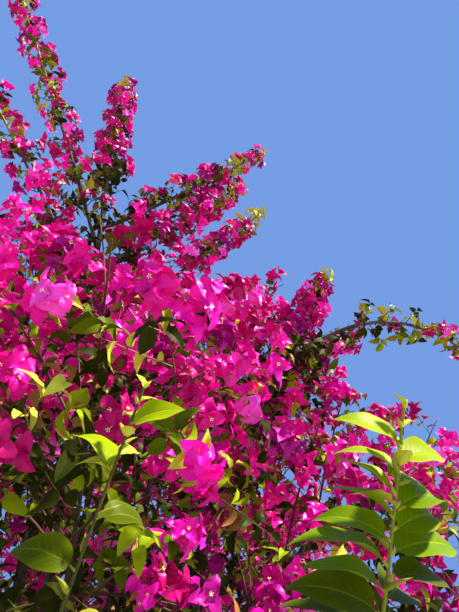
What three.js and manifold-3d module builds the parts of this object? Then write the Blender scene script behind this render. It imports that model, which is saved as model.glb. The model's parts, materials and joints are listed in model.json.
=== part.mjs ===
// A bougainvillea bush, rooted in the ground: a short flared trunk that forks into six stems, boughs that
// branch from them, sixteen dense masses of leaf and blossom that make a rounded crown, long flowering canes
// that stand out of it, and young whips with large leaves. Each mass grows from one stem by one seeded rule.
// Millimetres, +Z up, the front towards -Y. The origin is at the flat cut under the trunk, at ground level.
import * as THREE from "three";
import { mergeVertices } from "three/addons/utils/BufferGeometryUtils.js";
import Module from "manifold-3d";

const wasm = await Module();
wasm.setup();

// Clearances: between pieces that carry each other, and from a twig or leaf to any limb
const JOINT_GAP = 0.3;
const LIMB_CLEARANCE = 5;
// A point belongs to a mass if its distance, in widths of the mass, beats every other mass by this share
const SPACE_MARGIN = 0.04;
const GOLDEN_ANGLE = 137.508;

// The trunk: radii at the ground before the flare and at the top, the flare and its root ridges
const TRUNK = {
  height: 370,
  lean: [26, -18],
  footRadius: 66,
  topRadius: 54,
  flare: 0.45,
  flareHeight: 85,
  ridges: 4,
  ridgeDepth: 0.14,
  sides: 12,
  steps: 5,
};

// Six stems fan out of the trunk from spring, a share of its height. Their first part belongs to the trunk as
// its fork. sway is the share by which each one departs from the even fan
const STEM = {
  count: 6,
  turn: -75,
  spring: 0.86,
  sway: 0.08,
  bend: [160, 900],
  end: [420, 1400],
  rootRadius: 34,
  tipRadius: 12,
  forkShare: 0.2,
};

// Rings of dense masses. end and tip are [distance from the middle, height]: the bough runs from a stem to
// end, and the mass from there to tip. stemShare is how far up its stem the bough leaves it
const RINGS = [
  {
    name: "skirt",
    count: 5,
    turn: -90,
    end: [390, 890],
    tip: [960, 1040],
    lift: 60,
    stemShare: 0.34,
    width: 480,
    slot: "leaf",
  },
  {
    name: "waist",
    count: 6,
    turn: -75,
    end: STEM.end,
    tip: [940, 1930],
    width: 480,
    slot: "blossom",
  },
  {
    name: "shoulder",
    count: 4,
    turn: -110,
    end: [260, 2050],
    tip: [650, 2520],
    lift: 40,
    stemShare: 0.43,
    width: 460,
    slot: "blossom",
  },
  {
    name: "crown",
    count: 1,
    turn: 100,
    end: [40, 2180],
    tip: [60, 2880],
    lift: 120,
    stemShare: 0.74,
    width: 430,
    slot: "blossom",
  },
];
const BOUGH_RADII = [18, 11];

// Tall boughs that come out through the crown, with the flowering canes that they carry.
// end and tip are [azimuth, distance from the middle, height]; share is where on the bough a cane starts
const TALL_BOUGHS = [
  {
    name: "front",
    stem: 0,
    stemShare: 0.5,
    end: [-85, 745, 2950],
    lift: 60,
    canes: [
      { share: 1.0, tip: [-84, 945, 3515], lift: 0, width: 130 },
      { share: 0.9, tip: [-101, 1300, 3530], lift: 40, width: 150 },
      { share: 0.94, tip: [-44, 970, 3415], lift: -40, width: 130 },
      { share: 0.86, tip: [-48, 890, 3160], lift: -30, width: 125 },
      { share: 0.8, tip: [-106, 1330, 3190], lift: 60, width: 150 },
      { share: 0.74, tip: [-49, 1010, 2860], lift: -30, width: 130 },
    ],
  },
  {
    name: "right",
    stem: 1,
    stemShare: 0.55,
    end: [-30, 970, 2450],
    lift: 620,
    canes: [
      { share: 1.0, tip: [-9, 1640, 2440], lift: 0, width: 150 },
      { share: 0.8, tip: [-30, 1060, 2750], lift: 40, width: 130 },
    ],
  },
  {
    name: "back",
    stem: 2,
    stemShare: 0.62,
    end: [44, 660, 2900],
    lift: 80,
    canes: [
      { share: 1.0, tip: [50, 1120, 3400], lift: 0, width: 150 },
      { share: 0.86, tip: [12, 1250, 3010], lift: 80, width: 150 },
      { share: 0.92, tip: [92, 900, 3450], lift: 20, width: 140 },
    ],
  },
  {
    name: "left",
    stem: 4,
    stemShare: 0.62,
    end: [184, 660, 2860],
    lift: 80,
    canes: [
      { share: 1.0, tip: [178, 1180, 3260], lift: 0, width: 150 },
      { share: 0.86, tip: [208, 1300, 2900], lift: 80, width: 150 },
      { share: 0.92, tip: [146, 1000, 3380], lift: 20, width: 140 },
    ],
  },
];
const TALL_RADII = [17, 9];

// Young whips with large leaves, from the boughs of the skirt
const WHIPS = [
  { name: "right", bough: 1, share: 0.82, bend: [-64, 1180, 760], tip: [-63, 1600, 1720] },
  { name: "middle", bough: 0, share: 0.7, bend: [-82, 1120, 800], tip: [-72, 1470, 1760] },
  { name: "back", bough: 2, share: 0.82, bend: [88, 1180, 900], tip: [82, 1500, 1900] },
];

// What a dense mass, a cane and a whip are made of. reach and lean say how far and at what angle the twigs
// leave the stem, from the first to the last; leafy is the share of the twigs that carry a leaf on the way
const DENSE = {
  stemRadii: [11, 4],
  twigs: 10,
  from: 0.12,
  lean: [88, 30],
  reach: 1.12,
  twigRadii: [5, 3.5],
  leafy: 0.2,
  leafLength: 190,
  bractLength: 215,
  core: [0.58, 0.7],
};
const CANE = {
  stemRadii: [8, 3.5],
  twigs: 7,
  from: 0.14,
  lean: [64, 40],
  reach: 0.9,
  twigRadii: [3.6, 2.8],
  leafy: 0.2,
  leafLength: 105,
  bractLength: 120,
};
const WHIP = {
  stemRadii: [6, 3],
  width: 130,
  leaves: 11,
  leafLength: 96,
  leafyFrom: 0.6,
};
const LIMB_SIDES = 6;
const LIMB_STEPS = 4;

// Blade proportions, as shares of the blade's length: cup is the lean of a bract towards the twig's own way,
// valley the notch between two bracts
const LEAF = { width: 0.52, widest: 0.42, thickness: 0.035, fold: 0.06, droop: 0.14, cup: 0.5, valley: 0.07 };
const BRACT = { width: 0.72, widest: 0.46, thickness: 0.035, fold: 0.08, droop: -0.05, cup: 0.8, valley: 0.1 };
const BLADES = 3;

const BARK = new THREE.MeshStandardMaterial({ color: 0x6d5a48, roughness: 0.9, metalness: 0 });
const SLOT_COLOURS = { leaf: 0x4c7a26, blossom: 0xd2189a, whip: 0x7fae2c };

// A small seeded dice, so that every build gives the same bush
class Dice {
  constructor(seed) {
    this.state = seed * 7919 + 104729;
    this.roll();
    this.roll();
  }
  roll() {
    this.state = (this.state * 16807) % 2147483647;
    return this.state / 2147483647;
  }
  between(low, high) {
    return low + (high - low) * this.roll();
  }
}

// A point from its azimuth in degrees, its distance from the middle and its height
function around(azimuth, distance, height) {
  const angle = THREE.MathUtils.degToRad(azimuth);
  return new THREE.Vector3(distance * Math.cos(angle), distance * Math.sin(angle), height);
}

// A direction mostly along the first, turned towards the second by the given weight
function mixed(first, second, weight) {
  return first.clone().addScaledVector(second, weight).normalize();
}

// An arc from one point to another whose middle is raised by lift
function arc(from, to, lift) {
  const middle = from.clone().lerp(to, 0.5);
  middle.z += lift;
  return new THREE.QuadraticBezierCurve3(from, middle, to);
}

// The arc that goes on in a given direction and then bends to a point
function onwardArc(from, direction, to) {
  const middle = from.clone().addScaledVector(direction, from.distanceTo(to) / 2);
  return new THREE.QuadraticBezierCurve3(from, middle, to);
}

// A direction square to the given one: level where it can be
function squareTo(direction) {
  const up = Math.abs(direction.z) > 0.99 ? new THREE.Vector3(1, 0, 0) : new THREE.Vector3(0, 0, 1);
  return new THREE.Vector3().crossVectors(direction, up).normalize();
}

// The tangent of an arc at a share of it and two directions square to it, the first square to the arc's plane
function squareFrame(curve, t) {
  const tangent = curve.getTangent(t);
  const chord = curve.v2.clone().sub(curve.v0);
  const plane = curve.v1.clone().sub(curve.v0).cross(chord);
  const side = plane.length() > 1e-3 * chord.lengthSq() ? plane : squareTo(chord.normalize());
  side.addScaledVector(tangent, -side.dot(tangent)).normalize();
  return { tangent, side, other: new THREE.Vector3().crossVectors(side, tangent) };
}

// The direction at a given angle round an arc's frame
function spoke({ side, other }, angle) {
  return side.clone().multiplyScalar(Math.cos(angle)).addScaledVector(other, Math.sin(angle));
}

// The corners of a geometry welded, without the faces that have no area
function welded(geometry) {
  const bare = new THREE.BufferGeometry().setAttribute("position", geometry.getAttribute("position"));
  bare.setIndex(geometry.getIndex());
  const merged = mergeVertices(bare, 1e-3);
  const corners = merged.getIndex().array;
  const kept = [];
  for (let i = 0; i < corners.length; i += 3) {
    const [a, b, c] = [corners[i], corners[i + 1], corners[i + 2]];
    if (a !== b && b !== c && c !== a) kept.push(a, b, c);
  }
  merged.setIndex(kept);
  return merged;
}

// A closed geometry as a solid that can be cut and joined
function solidFrom(geometry) {
  const merged = welded(geometry);
  return new wasm.Manifold(
    new wasm.Mesh({
      numProp: 3,
      vertProperties: merged.getAttribute("position").array,
      triVerts: new Uint32Array(merged.getIndex().array),
    }),
  );
}

// A geometry for a mesh from a solid
function geometryFrom(solid) {
  const mesh = solid.getMesh();
  const geometry = new THREE.BufferGeometry();
  geometry.setAttribute("position", new THREE.BufferAttribute(mesh.vertProperties, 3));
  geometry.setIndex(new THREE.BufferAttribute(mesh.triVerts, 1));
  return geometry;
}

// The largest body of a solid, without loose scraps
function largest(solid) {
  return solid.decompose().reduce((best, body) => (body.volume() > best.volume() ? body : best));
}

// Moves every corner of a geometry to where place puts it
function reshape(geometry, place) {
  const position = geometry.getAttribute("position");
  const corner = new THREE.Vector3();
  for (let i = 0; i < position.count; i++) {
    corner.fromBufferAttribute(position, i);
    const moved = place(corner);
    position.setXYZ(i, moved.x, moved.y, moved.z);
  }
  return geometry;
}

// A cylinder bent along an arc between two shares of it. radiusAt gives the radius at a share of the arc and
// an angle round it; overrun lengthens the far end
function bentTube(curve, from, to, radiusAt, sides, steps, overrun = 0) {
  return reshape(new THREE.CylinderGeometry(1, 1, 1, sides, steps), (corner) => {
    const t = from + (to - from) * (corner.y + 0.5);
    const { tangent, side, other } = squareFrame(curve, t);
    const radius = radiusAt(t, Math.atan2(corner.z, corner.x));
    return curve
      .getPoint(t)
      .addScaledVector(tangent, corner.y > 0.49 ? overrun : 0)
      .addScaledVector(side, corner.x * radius)
      .addScaledVector(other, corner.z * radius);
  });
}

// One tapering limb along an arc. parent is the limb that it branches from
class Limb {
  constructor(name, curve, rootRadius, tipRadius, from = 0, parent = null, sides = LIMB_SIDES) {
    Object.assign(this, { name, curve, rootRadius, tipRadius, from, parent, sides });
    const points = curve.getPoints(16);
    this.pieces = points.slice(1).map((point, i) => new THREE.Line3(points[i], point));
    this.grown = new Map();
  }
  radiusAt(t) {
    return this.rootRadius + (this.tipRadius - this.rootRadius) * t;
  }
  // The limb as a solid, grown outwards all round by a margin
  solid(margin = 0, from = this.from, to = 1) {
    const key = `${margin} ${from} ${to}`;
    if (!this.grown.has(key)) {
      const radiusAt = (t) => this.radiusAt(t) + margin;
      this.grown.set(key, solidFrom(bentTube(this.curve, from, to, radiusAt, this.sides, LIMB_STEPS, margin)));
    }
    return this.grown.get(key);
  }
  // The limb as a piece of the bush, cut clear of the limb that carries it
  piece() {
    return this.parent && this.from === 0 ? largest(this.solid().subtract(this.parent.solid(JOINT_GAP))) : this.solid();
  }
  // True if the point lies within a margin of the limb
  isNear(point, margin) {
    const closest = new THREE.Vector3();
    return this.pieces.some((piece, i) => {
      piece.closestPointToPoint(point, true, closest);
      return closest.distanceTo(point) < this.radiusAt(i / this.pieces.length) + margin;
    });
  }
}

// A leaf of eight faces: root, tip, two sides, and a ridge above and below
function leafBlade(root, along, face, length, form) {
  const side = new THREE.Vector3().crossVectors(along, face).normalize();
  const up = new THREE.Vector3().crossVectors(side, along).normalize();
  return reshape(new THREE.OctahedronGeometry(1), (corner) => {
    const share = Math.abs(corner.y) > 0.5 ? (corner.y + 1) / 2 : form.widest;
    const rise = Math.abs(corner.x) * form.fold - (corner.y > 0.5 ? form.droop : 0);
    return root
      .clone()
      .addScaledVector(along, share * length)
      .addScaledVector(side, (corner.x * form.width * length) / 2)
      .addScaledVector(up, (rise + (corner.z * form.thickness) / 2) * length);
  });
}

// A twig that opens into three blades, as one closed shape: a three-sided stalk from the root to the end of
// its arc, and round that end a rim of tips, sides and valleys
function sprig(path, radii, spin, length, form, steps) {
  const rows = steps + 3;
  const columns = BLADES * 4;
  const end = squareFrame(path, 1);
  const centre = path.getPoint(1);
  const turnOf = (step) => spin + (step * 2 * Math.PI) / BLADES;
  return reshape(new THREE.SphereGeometry(1, columns, rows), (corner) => {
    const row = Math.round((Math.acos(corner.y) / Math.PI) * rows);
    const column = (Math.round((Math.atan2(corner.z, corner.x) / (2 * Math.PI)) * columns) + columns) % columns;
    if (row === 0) return centre.clone().addScaledVector(end.tangent, form.thickness * 2 * length);
    if (row === rows) return path.getPoint(0);
    if (row > 1) {
      const t = 1 - (row - 2) / steps;
      const corners = Math.floor((column + 3) / 4) - 0.5;
      const radius = radii[0] + (radii[1] - radii[0]) * t;
      return path.getPoint(t).addScaledVector(spoke(squareFrame(path, t), turnOf(corners)), radius);
    }
    const part = column % 4;
    if (part === 2) {
      const along = mixed(spoke(end, turnOf(column / 4)), end.tangent, form.cup);
      return centre.clone().addScaledVector(along, form.valley * length);
    }
    const nearest = Math.round(column / 4);
    const along = mixed(spoke(end, turnOf(nearest)), end.tangent, form.cup);
    const side = new THREE.Vector3().crossVectors(along, end.tangent).normalize();
    const up = new THREE.Vector3().crossVectors(side, along);
    if (part === 0) return centre.clone().addScaledVector(along, length).addScaledVector(up, -form.droop * length);
    return centre
      .clone()
      .addScaledVector(along, form.widest * length)
      .addScaledVector(side, ((part === 1 ? 1 : -1) * form.width * length) / 2)
      .addScaledVector(up, form.fold * length);
  });
}

// The spaces of all masses and the limbs that pass through them
class Spaces {
  constructor(masses, limbs) {
    this.masses = masses;
    this.limbs = [...limbs, ...masses.map((mass) => mass.stem)];
  }
  limbsBeside(mass) {
    return this.limbs.filter((limb) => limb !== mass.stem);
  }
  // True if the point is in the mass's own space and clear of every limb
  holds(mass, point, clearance = LIMB_CLEARANCE) {
    const own = mass.nearnessOf(point);
    if (own > 1) return false;
    if (this.limbsBeside(mass).some((limb) => limb.isNear(point, clearance))) return false;
    return this.masses.every((other) => other === mass || other.nearnessOf(point) > own + SPACE_MARGIN);
  }
  // True if every corner of the shape is in the mass's space and no limb runs through the shape
  holdsShape(mass, geometry, solid) {
    const position = geometry.getAttribute("position");
    const corner = new THREE.Vector3();
    for (let i = 0; i < position.count; i++) {
      corner.fromBufferAttribute(position, i);
      if (mass.isRoot(corner)) continue;
      if (!this.holds(mass, corner)) return false;
    }
    const near = this.limbsBeside(mass).filter((limb) => limb.isNear(corner, mass.width * 1.5));
    return near.every((limb) => solid.intersect(limb.solid(LIMB_CLEARANCE)).volume() < 1e-3);
  }
}

// A mass of leaf and blossom that grows from one stem
class Mass {
  constructor(name, bough, share, curve, width, make, seed, slot) {
    Object.assign(this, { name, bough, share, curve, width, make, seed, slot });
    this.samples = curve.getPoints(16);
    // The stem starts clear of its bough: past its tip, or cut back from its side
    const speed = curve.v0.distanceTo(curve.v1) * 2;
    this.stem = new Limb(`${name} stem`, curve, ...make.stemRadii, share === 1 ? JOINT_GAP / speed : 0, bough, 4);
  }

  // A point's distance from the stem's middle line, in widths of the mass
  nearnessOf(point) {
    return Math.min(...this.samples.map((sample) => sample.distanceTo(point))) / this.width;
  }

  // True close to the stem, where roots of twigs and leaves are sunk in
  isRoot(point) {
    return this.samples.some((sample, i) => i > 1 && sample.distanceTo(point) < this.make.stemRadii[0] * 2);
  }

  // The smaller core of a dense mass: it swells from the middle of the stem as far as the mass's space and the
  // core's own share of its width allow, and is cut clear of the limbs that pass
  core(spaces) {
    const dice = new Dice(this.seed);
    const middle = this.curve.getPoint(0.55);
    const ball = reshape(welded(new THREE.IcosahedronGeometry(1, 1)), (corner) => {
      const share = dice.between(...this.make.core);
      const at = (distance) => middle.clone().addScaledVector(corner, distance);
      const allows = (point) => this.nearnessOf(point) < share && spaces.holds(this, point, 0);
      let distance = this.width;
      while (distance > this.width * 0.2 && !allows(at(distance))) distance -= this.width * 0.02;
      return at(distance - this.width * 0.01);
    });
    return spaces
      .limbsBeside(this)
      .filter((limb) => limb.isNear(middle, this.width * 1.5))
      .reduce((solid, limb) => solid.subtract(limb.solid(LIMB_CLEARANCE)), solidFrom(ball));
  }

  // The twigs of the mass with their blades: each is shrunk until its space holds it, or skipped
  twigs(spaces) {
    const { make } = this;
    const dice = new Dice(this.seed);
    const turn = dice.between(0, 360);
    const found = [];
    for (let i = 0; i < make.twigs; i++) {
      const share = i / (make.twigs - 1);
      const t = make.from + (0.97 - make.from) * share;
      const frame = squareFrame(this.curve, t);
      const lean = make.lean[0] + (make.lean[1] - make.lean[0]) * share;
      const out = spoke(frame, THREE.MathUtils.degToRad(turn + i * GOLDEN_ANGLE));
      const way = share === 1 ? frame.tangent : mixed(out, frame.tangent, 1 / Math.tan(THREE.MathUtils.degToRad(lean)));
      const reach = this.width * make.reach * dice.between(0.8, 1);
      const spin = dice.between(0, 2 * Math.PI);
      const length = make.bractLength * dice.between(0.9, 1.1);
      const leafy = dice.roll() < make.leafy;
      const root = this.curve.getPoint(t);
      for (const scale of [1, 0.86, 0.72, 0.58, 0.44]) {
        const size = length * (0.5 + 0.5 * scale);
        const stalk = Math.max(reach * scale - size * 0.6, size * 0.3);
        const path = arc(root, root.clone().addScaledVector(way, stalk), stalk * 0.1);
        const shape = sprig(path, make.twigRadii, spin, size, this.slot === "leaf" ? LEAF : BRACT, 1);
        const solid = solidFrom(shape);
        if (spaces.holdsShape(this, shape, solid)) {
          found.push(solid);
          if (leafy) found.push(...this.twigLeaf(path, spin, spaces));
          break;
        }
      }
    }
    return found;
  }

  // A leaf on the way of a twig
  twigLeaf(path, spin, spaces) {
    const { twigRadii, leafLength } = this.make;
    const frame = squareFrame(path, 0.75);
    const along = mixed(spoke(frame, spin + 1), frame.tangent, 0.5);
    const root = path.getPoint(0.75).addScaledVector(along, -twigRadii[1]);
    const shape = leafBlade(root, along, frame.tangent, leafLength, LEAF);
    const solid = solidFrom(shape);
    return spaces.holdsShape(this, shape, solid) ? [solid] : [];
  }

  solid(spaces) {
    const parts = [this.stem.piece()];
    if (this.make.core) parts.push(this.core(spaces));
    parts.push(...this.twigs(spaces));
    return largest(parts.reduce((whole, part) => whole.add(part)));
  }
}

// A young whip: one stem with alternate leaves that hang outwards, smaller towards the tip
class Whip extends Mass {
  solid(spaces) {
    const { leaves, leafLength, leafyFrom, stemRadii } = this.make;
    let whole = this.stem.piece();
    for (let i = 0; i < leaves; i++) {
      const share = i / (leaves - 1);
      const t = leafyFrom + (0.99 - leafyFrom) * share;
      const frame = squareFrame(this.curve, t);
      const out = spoke(frame, THREE.MathUtils.degToRad(this.seed * 40 + i * GOLDEN_ANGLE));
      const along = mixed(out, frame.tangent, 0.35 + 0.9 * share * share);
      const length = leafLength * (1 - 0.55 * share * share);
      const root = this.curve.getPoint(t).addScaledVector(along, -stemRadii[1]);
      const shape = leafBlade(root, along, frame.tangent, length, LEAF);
      const solid = solidFrom(shape);
      if (spaces.holdsShape(this, shape, solid)) whole = whole.add(solid);
    }
    return largest(whole);
  }
}

// The trunk's middle line: upright at the foot, leaning at the top
function trunkLine() {
  return new THREE.QuadraticBezierCurve3(
    new THREE.Vector3(0, 0, 0),
    new THREE.Vector3(0, 0, TRUNK.height * 0.45),
    new THREE.Vector3(...TRUNK.lean, TRUNK.height),
  );
}

// The trunk, with root ridges at its foot and the first part of each stem as its fork
function trunkSolid(stems) {
  const radiusAt = (t, angle) => {
    const plain = TRUNK.footRadius + (TRUNK.topRadius - TRUNK.footRadius) * t;
    const spread = Math.exp((-t * TRUNK.height) / TRUNK.flareHeight);
    return plain * (1 + spread * (TRUNK.flare + TRUNK.ridgeDepth * Math.cos(TRUNK.ridges * angle)));
  };
  const foot = solidFrom(bentTube(trunkLine(), 0, 1, radiusAt, TRUNK.sides, TRUNK.steps));
  return stems.reduce((whole, stem) => whole.add(stem.solid(0, 0, STEM.forkShare)), foot);
}

function buildStems() {
  const root = trunkLine().getPoint(STEM.spring);
  const dice = new Dice(STEM.count);
  const sway = () => dice.between(1 - STEM.sway, 1 + STEM.sway);
  return Array.from({ length: STEM.count }, (_, k) => {
    const azimuth = STEM.turn + (360 / STEM.count) * (k + sway() - 1);
    const [bendOut, bendUp] = STEM.bend;
    const [endOut, endUp] = STEM.end;
    const bend = around(azimuth, bendOut * sway(), bendUp * sway());
    const end = around(azimuth, endOut * sway(), endUp * sway());
    const curve = new THREE.QuadraticBezierCurve3(root.clone(), bend, end);
    const from = STEM.forkShare + JOINT_GAP / curve.getLength();
    return new Limb(`stem_${k + 1}`, curve, STEM.rootRadius, STEM.tipRadius, from);
  });
}

// The bough that leaves a limb at a share of it, no thicker than the limb allows
function boughFrom(parent, share, end, lift, name, radii) {
  const curve = arc(parent.curve.getPoint(share), end, lift);
  return new Limb(name, curve, Math.min(radii[0], parent.radiusAt(share) * 0.8), radii[1], 0, parent);
}

function buildRing(ring, stems, limbs, masses) {
  for (let k = 0; k < ring.count; k++) {
    const azimuth = ring.turn + (360 / ring.count) * k;
    const stem = stems[Math.round(((azimuth - STEM.turn + 360) % 360) / (360 / STEM.count)) % STEM.count];
    let bough = stem;
    if (ring.stemShare) {
      const end = around(azimuth, ...ring.end);
      bough = boughFrom(stem, ring.stemShare, end, ring.lift, `${ring.name}_bough_${k + 1}`, BOUGH_RADII);
      limbs.push(bough);
    }
    const curve = onwardArc(bough.curve.v2, bough.curve.getTangent(1), around(azimuth, ...ring.tip));
    masses.push(new Mass(`${ring.name}_mass_${k + 1}`, bough, 1, curve, ring.width, DENSE, masses.length + 1, ring.slot));
  }
}

function buildTallBough(tall, stems, limbs, masses) {
  const end = around(...tall.end);
  const bough = boughFrom(stems[tall.stem], tall.stemShare, end, tall.lift, `${tall.name}_tall_bough`, TALL_RADII);
  limbs.push(bough);
  tall.canes.forEach((cane, k) => {
    const from = bough.curve.getPoint(cane.share);
    const tip = around(...cane.tip);
    const curve = cane.share === 1 ? onwardArc(from, bough.curve.getTangent(1), tip) : arc(from, tip, cane.lift);
    const name = `${tall.name}_cane_${k + 1}`;
    masses.push(new Mass(name, bough, cane.share, curve, cane.width, CANE, masses.length + 1, "blossom"));
  });
}

function buildWhip(whip, limbs, masses) {
  const bough = limbs.find((limb) => limb.name === `skirt_bough_${whip.bough + 1}`);
  const from = bough.curve.getPoint(whip.share);
  const curve = new THREE.QuadraticBezierCurve3(from, around(...whip.bend), around(...whip.tip));
  masses.push(new Whip(`${whip.name}_whip`, bough, whip.share, curve, WHIP.width, WHIP, masses.length + 1, "whip"));
}

const bush = new THREE.Group();

function addPiece(name, solid, material) {
  const mesh = new THREE.Mesh(geometryFrom(solid), material);
  mesh.name = name;
  bush.add(mesh);
}

const stems = buildStems();
const limbs = [...stems];
const masses = [];
for (const ring of RINGS) buildRing(ring, stems, limbs, masses);
for (const tall of TALL_BOUGHS) buildTallBough(tall, stems, limbs, masses);
for (const whip of WHIPS) buildWhip(whip, limbs, masses);

const spaces = new Spaces(masses, limbs);
addPiece("trunk", trunkSolid(stems), BARK.clone());
for (const limb of limbs) addPiece(limb.name, limb.piece(), BARK.clone());
for (const mass of masses) {
  const colour = SLOT_COLOURS[mass.slot];
  const material = new THREE.MeshStandardMaterial({ color: colour, roughness: 0.6, metalness: 0 });
  addPiece(mass.name, mass.solid(spaces), material);
}

export default bush;
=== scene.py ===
"""A bougainvillea bush: bark, twigs, leaves, bracts and flowers grown on from the limbs of the part."""

import json
import logging
import math
from dataclasses import dataclass, field, replace
from enum import Enum
from typing import Callable, Sequence

import bpy
import numpy as np
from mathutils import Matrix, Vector

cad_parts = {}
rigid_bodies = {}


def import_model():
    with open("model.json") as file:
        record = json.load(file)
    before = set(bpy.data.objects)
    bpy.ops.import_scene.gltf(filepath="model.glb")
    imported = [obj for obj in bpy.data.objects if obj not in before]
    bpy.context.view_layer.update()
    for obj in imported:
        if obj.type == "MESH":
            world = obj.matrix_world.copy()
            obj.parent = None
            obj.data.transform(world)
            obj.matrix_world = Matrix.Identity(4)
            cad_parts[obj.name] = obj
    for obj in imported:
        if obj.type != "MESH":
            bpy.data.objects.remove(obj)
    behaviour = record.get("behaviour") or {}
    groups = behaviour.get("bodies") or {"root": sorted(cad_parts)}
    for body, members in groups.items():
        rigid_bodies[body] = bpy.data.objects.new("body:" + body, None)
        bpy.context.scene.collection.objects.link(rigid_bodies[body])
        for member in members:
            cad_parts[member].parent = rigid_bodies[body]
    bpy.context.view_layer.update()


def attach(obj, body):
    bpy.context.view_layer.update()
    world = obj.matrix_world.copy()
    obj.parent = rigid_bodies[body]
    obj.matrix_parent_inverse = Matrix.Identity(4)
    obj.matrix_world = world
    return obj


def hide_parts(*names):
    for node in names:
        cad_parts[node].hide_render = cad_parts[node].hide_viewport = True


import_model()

LOG = logging.getLogger("bougainvillea")
Array = np.ndarray
Pair = tuple[float, float]
Triple = tuple[float, float, float]

GOLDEN_ANGLE = math.radians(137.508)
LIMB_CLEARANCE = 0.005
SPACE_MARGIN = 0.04
SAMPLE_STEPS = 16
SMALLEST = 1e-9
FLATNESS = 1e-3
DICE_SEED_FACTOR = 7919
DICE_SEED_OFFSET = 104729
DICE_FACTOR = 16807
DICE_MODULUS = 2147483647
UP = np.array([0.0, 0.0, 1.0])


class Kind(Enum):
    """What a mass carries."""

    BLOSSOM = "blossom"
    LEAF = "leaf"
    WHIP = "whip"


# The sizes of the wood, in metres and degrees, as in the part


@dataclass(frozen=True)
class TrunkSizes:
    """Sizes of the trunk: radii before the flare, the flare at the foot and its root ridges."""

    height: float = 0.370
    bend_share: float = 0.45
    lean: Pair = (0.026, -0.018)
    foot_radius: float = 0.066
    top_radius: float = 0.054
    flare: float = 0.45
    flare_height: float = 0.085
    ridges: int = 4
    ridge_depth: float = 0.14


@dataclass(frozen=True)
class StemSizes:
    """Sizes of the stems that fan out of the trunk."""

    count: int = 6
    turn: float = -75.0
    spring: float = 0.86
    sway: float = 0.08
    bend: Pair = (0.160, 0.900)
    end: Pair = (0.420, 1.400)
    root_radius: float = 0.034
    tip_radius: float = 0.012


@dataclass(frozen=True)
class Ring:
    """A ring of dense masses: each bough runs from a stem to end, and its mass from there to tip."""

    name: str
    count: int
    turn: float
    end: Pair
    tip: Pair
    width: float
    kind: Kind
    lift: float = 0.0
    stem_share: float | None = None


@dataclass(frozen=True)
class Cane:
    """A flowering cane: where on its bough it starts, its tip, the lift of its middle and its width.

    bloom is how much it blossoms, wood the share of its length that is under brown bark, and
    fullness how many of the further twigs it has.
    """

    share: float
    tip: Triple
    lift: float
    width: float
    bloom: float = 1.0
    wood: float = 0.55
    fullness: float = 1.0


@dataclass(frozen=True)
class TallBough:
    """A bough that comes out through the crown, with its canes."""

    name: str
    stem: int
    stem_share: float
    end: Triple
    lift: float
    canes: tuple[Cane, ...]


@dataclass(frozen=True)
class WhipSizes:
    """A young whip from a bough of the skirt, with its number of leaves.

    dull is the share of its leaves that are dull dark green, painted shade on a whip that stands in shade,
    and pale the share that are pale yellow-green.
    """

    name: str
    bough: int
    share: float
    bend: Triple
    tip: Triple
    leaves: int
    dull: float
    pale: float


TRUNK = TrunkSizes()
STEM = StemSizes()
RINGS = (
    Ring("skirt", 5, -90, (0.390, 0.890), (0.960, 1.040), 0.48, Kind.LEAF, 0.060, 0.34),
    Ring("waist", 6, -75, STEM.end, (0.940, 1.930), 0.48, Kind.BLOSSOM),
    Ring("shoulder", 4, -110, (0.260, 2.050), (0.650, 2.520), 0.46, Kind.BLOSSOM, 0.040, 0.43),
    Ring("crown", 1, 100, (0.040, 2.180), (0.060, 2.880), 0.43, Kind.BLOSSOM, 0.120, 0.74),
)
TALL_BOUGHS = (
    TallBough(
        "front", 0, 0.5, (-85, 0.745, 2.950), 0.060,
        (
            Cane(1.0, (-84, 0.945, 3.515), 0.0, 0.130),
            Cane(0.9, (-101, 1.300, 3.530), 0.040, 0.150),
            Cane(0.94, (-44, 0.970, 3.415), -0.040, 0.130),
            Cane(0.86, (-48, 0.890, 3.160), -0.030, 0.125),
            Cane(0.8, (-106, 1.330, 3.190), 0.060, 0.150),
            Cane(0.74, (-49, 1.010, 2.860), -0.030, 0.130),
        ),
    ),
    TallBough(
        "right", 1, 0.55, (-30, 0.970, 2.450), 0.620,
        (
            Cane(1.0, (-9, 1.640, 2.440), 0.0, 0.150, bloom=0.35, wood=0.95, fullness=0.55),
            Cane(0.8, (-30, 1.060, 2.750), 0.040, 0.130),
        ),
    ),
    TallBough(
        "back", 2, 0.62, (44, 0.660, 2.900), 0.080,
        (
            Cane(1.0, (50, 1.120, 3.400), 0.0, 0.150),
            Cane(0.86, (12, 1.250, 3.010), 0.080, 0.150),
            Cane(0.92, (92, 0.900, 3.450), 0.020, 0.140),
        ),
    ),
    TallBough(
        "left", 4, 0.62, (184, 0.660, 2.860), 0.080,
        (
            Cane(1.0, (178, 1.180, 3.260), 0.0, 0.150),
            Cane(0.86, (208, 1.300, 2.900), 0.080, 0.150),
            Cane(0.92, (146, 1.000, 3.380), 0.020, 0.140),
        ),
    ),
)
# The share of dull dark leaves is painted shade: the middle whip stands in the shade under the crown
WHIPS = (
    WhipSizes("right", 1, 0.82, (-64, 1.180, 0.760), (-63, 1.600, 1.720), 76, 0.10, 0.0),
    WhipSizes("middle", 0, 0.7, (-82, 1.120, 0.800), (-72, 1.470, 1.760), 17, 0.85, 0.12),
    WhipSizes("back", 2, 0.82, (88, 1.180, 0.900), (82, 1.500, 1.900), 46, 0.30, 0.12),
)
WHIP_WIDTH = 0.130
BOUGH_RADII = (0.018, 0.011)
BOUGH_ROOT_SHARE = 0.8
TALL_RADII = (0.017, 0.009)
MASS_RADII = (0.011, 0.004)
CANE_RADII = (0.008, 0.0035)
WHIP_RADII = (0.006, 0.003)


# Growth: the dice, arcs, limbs and spaces of the part


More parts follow.
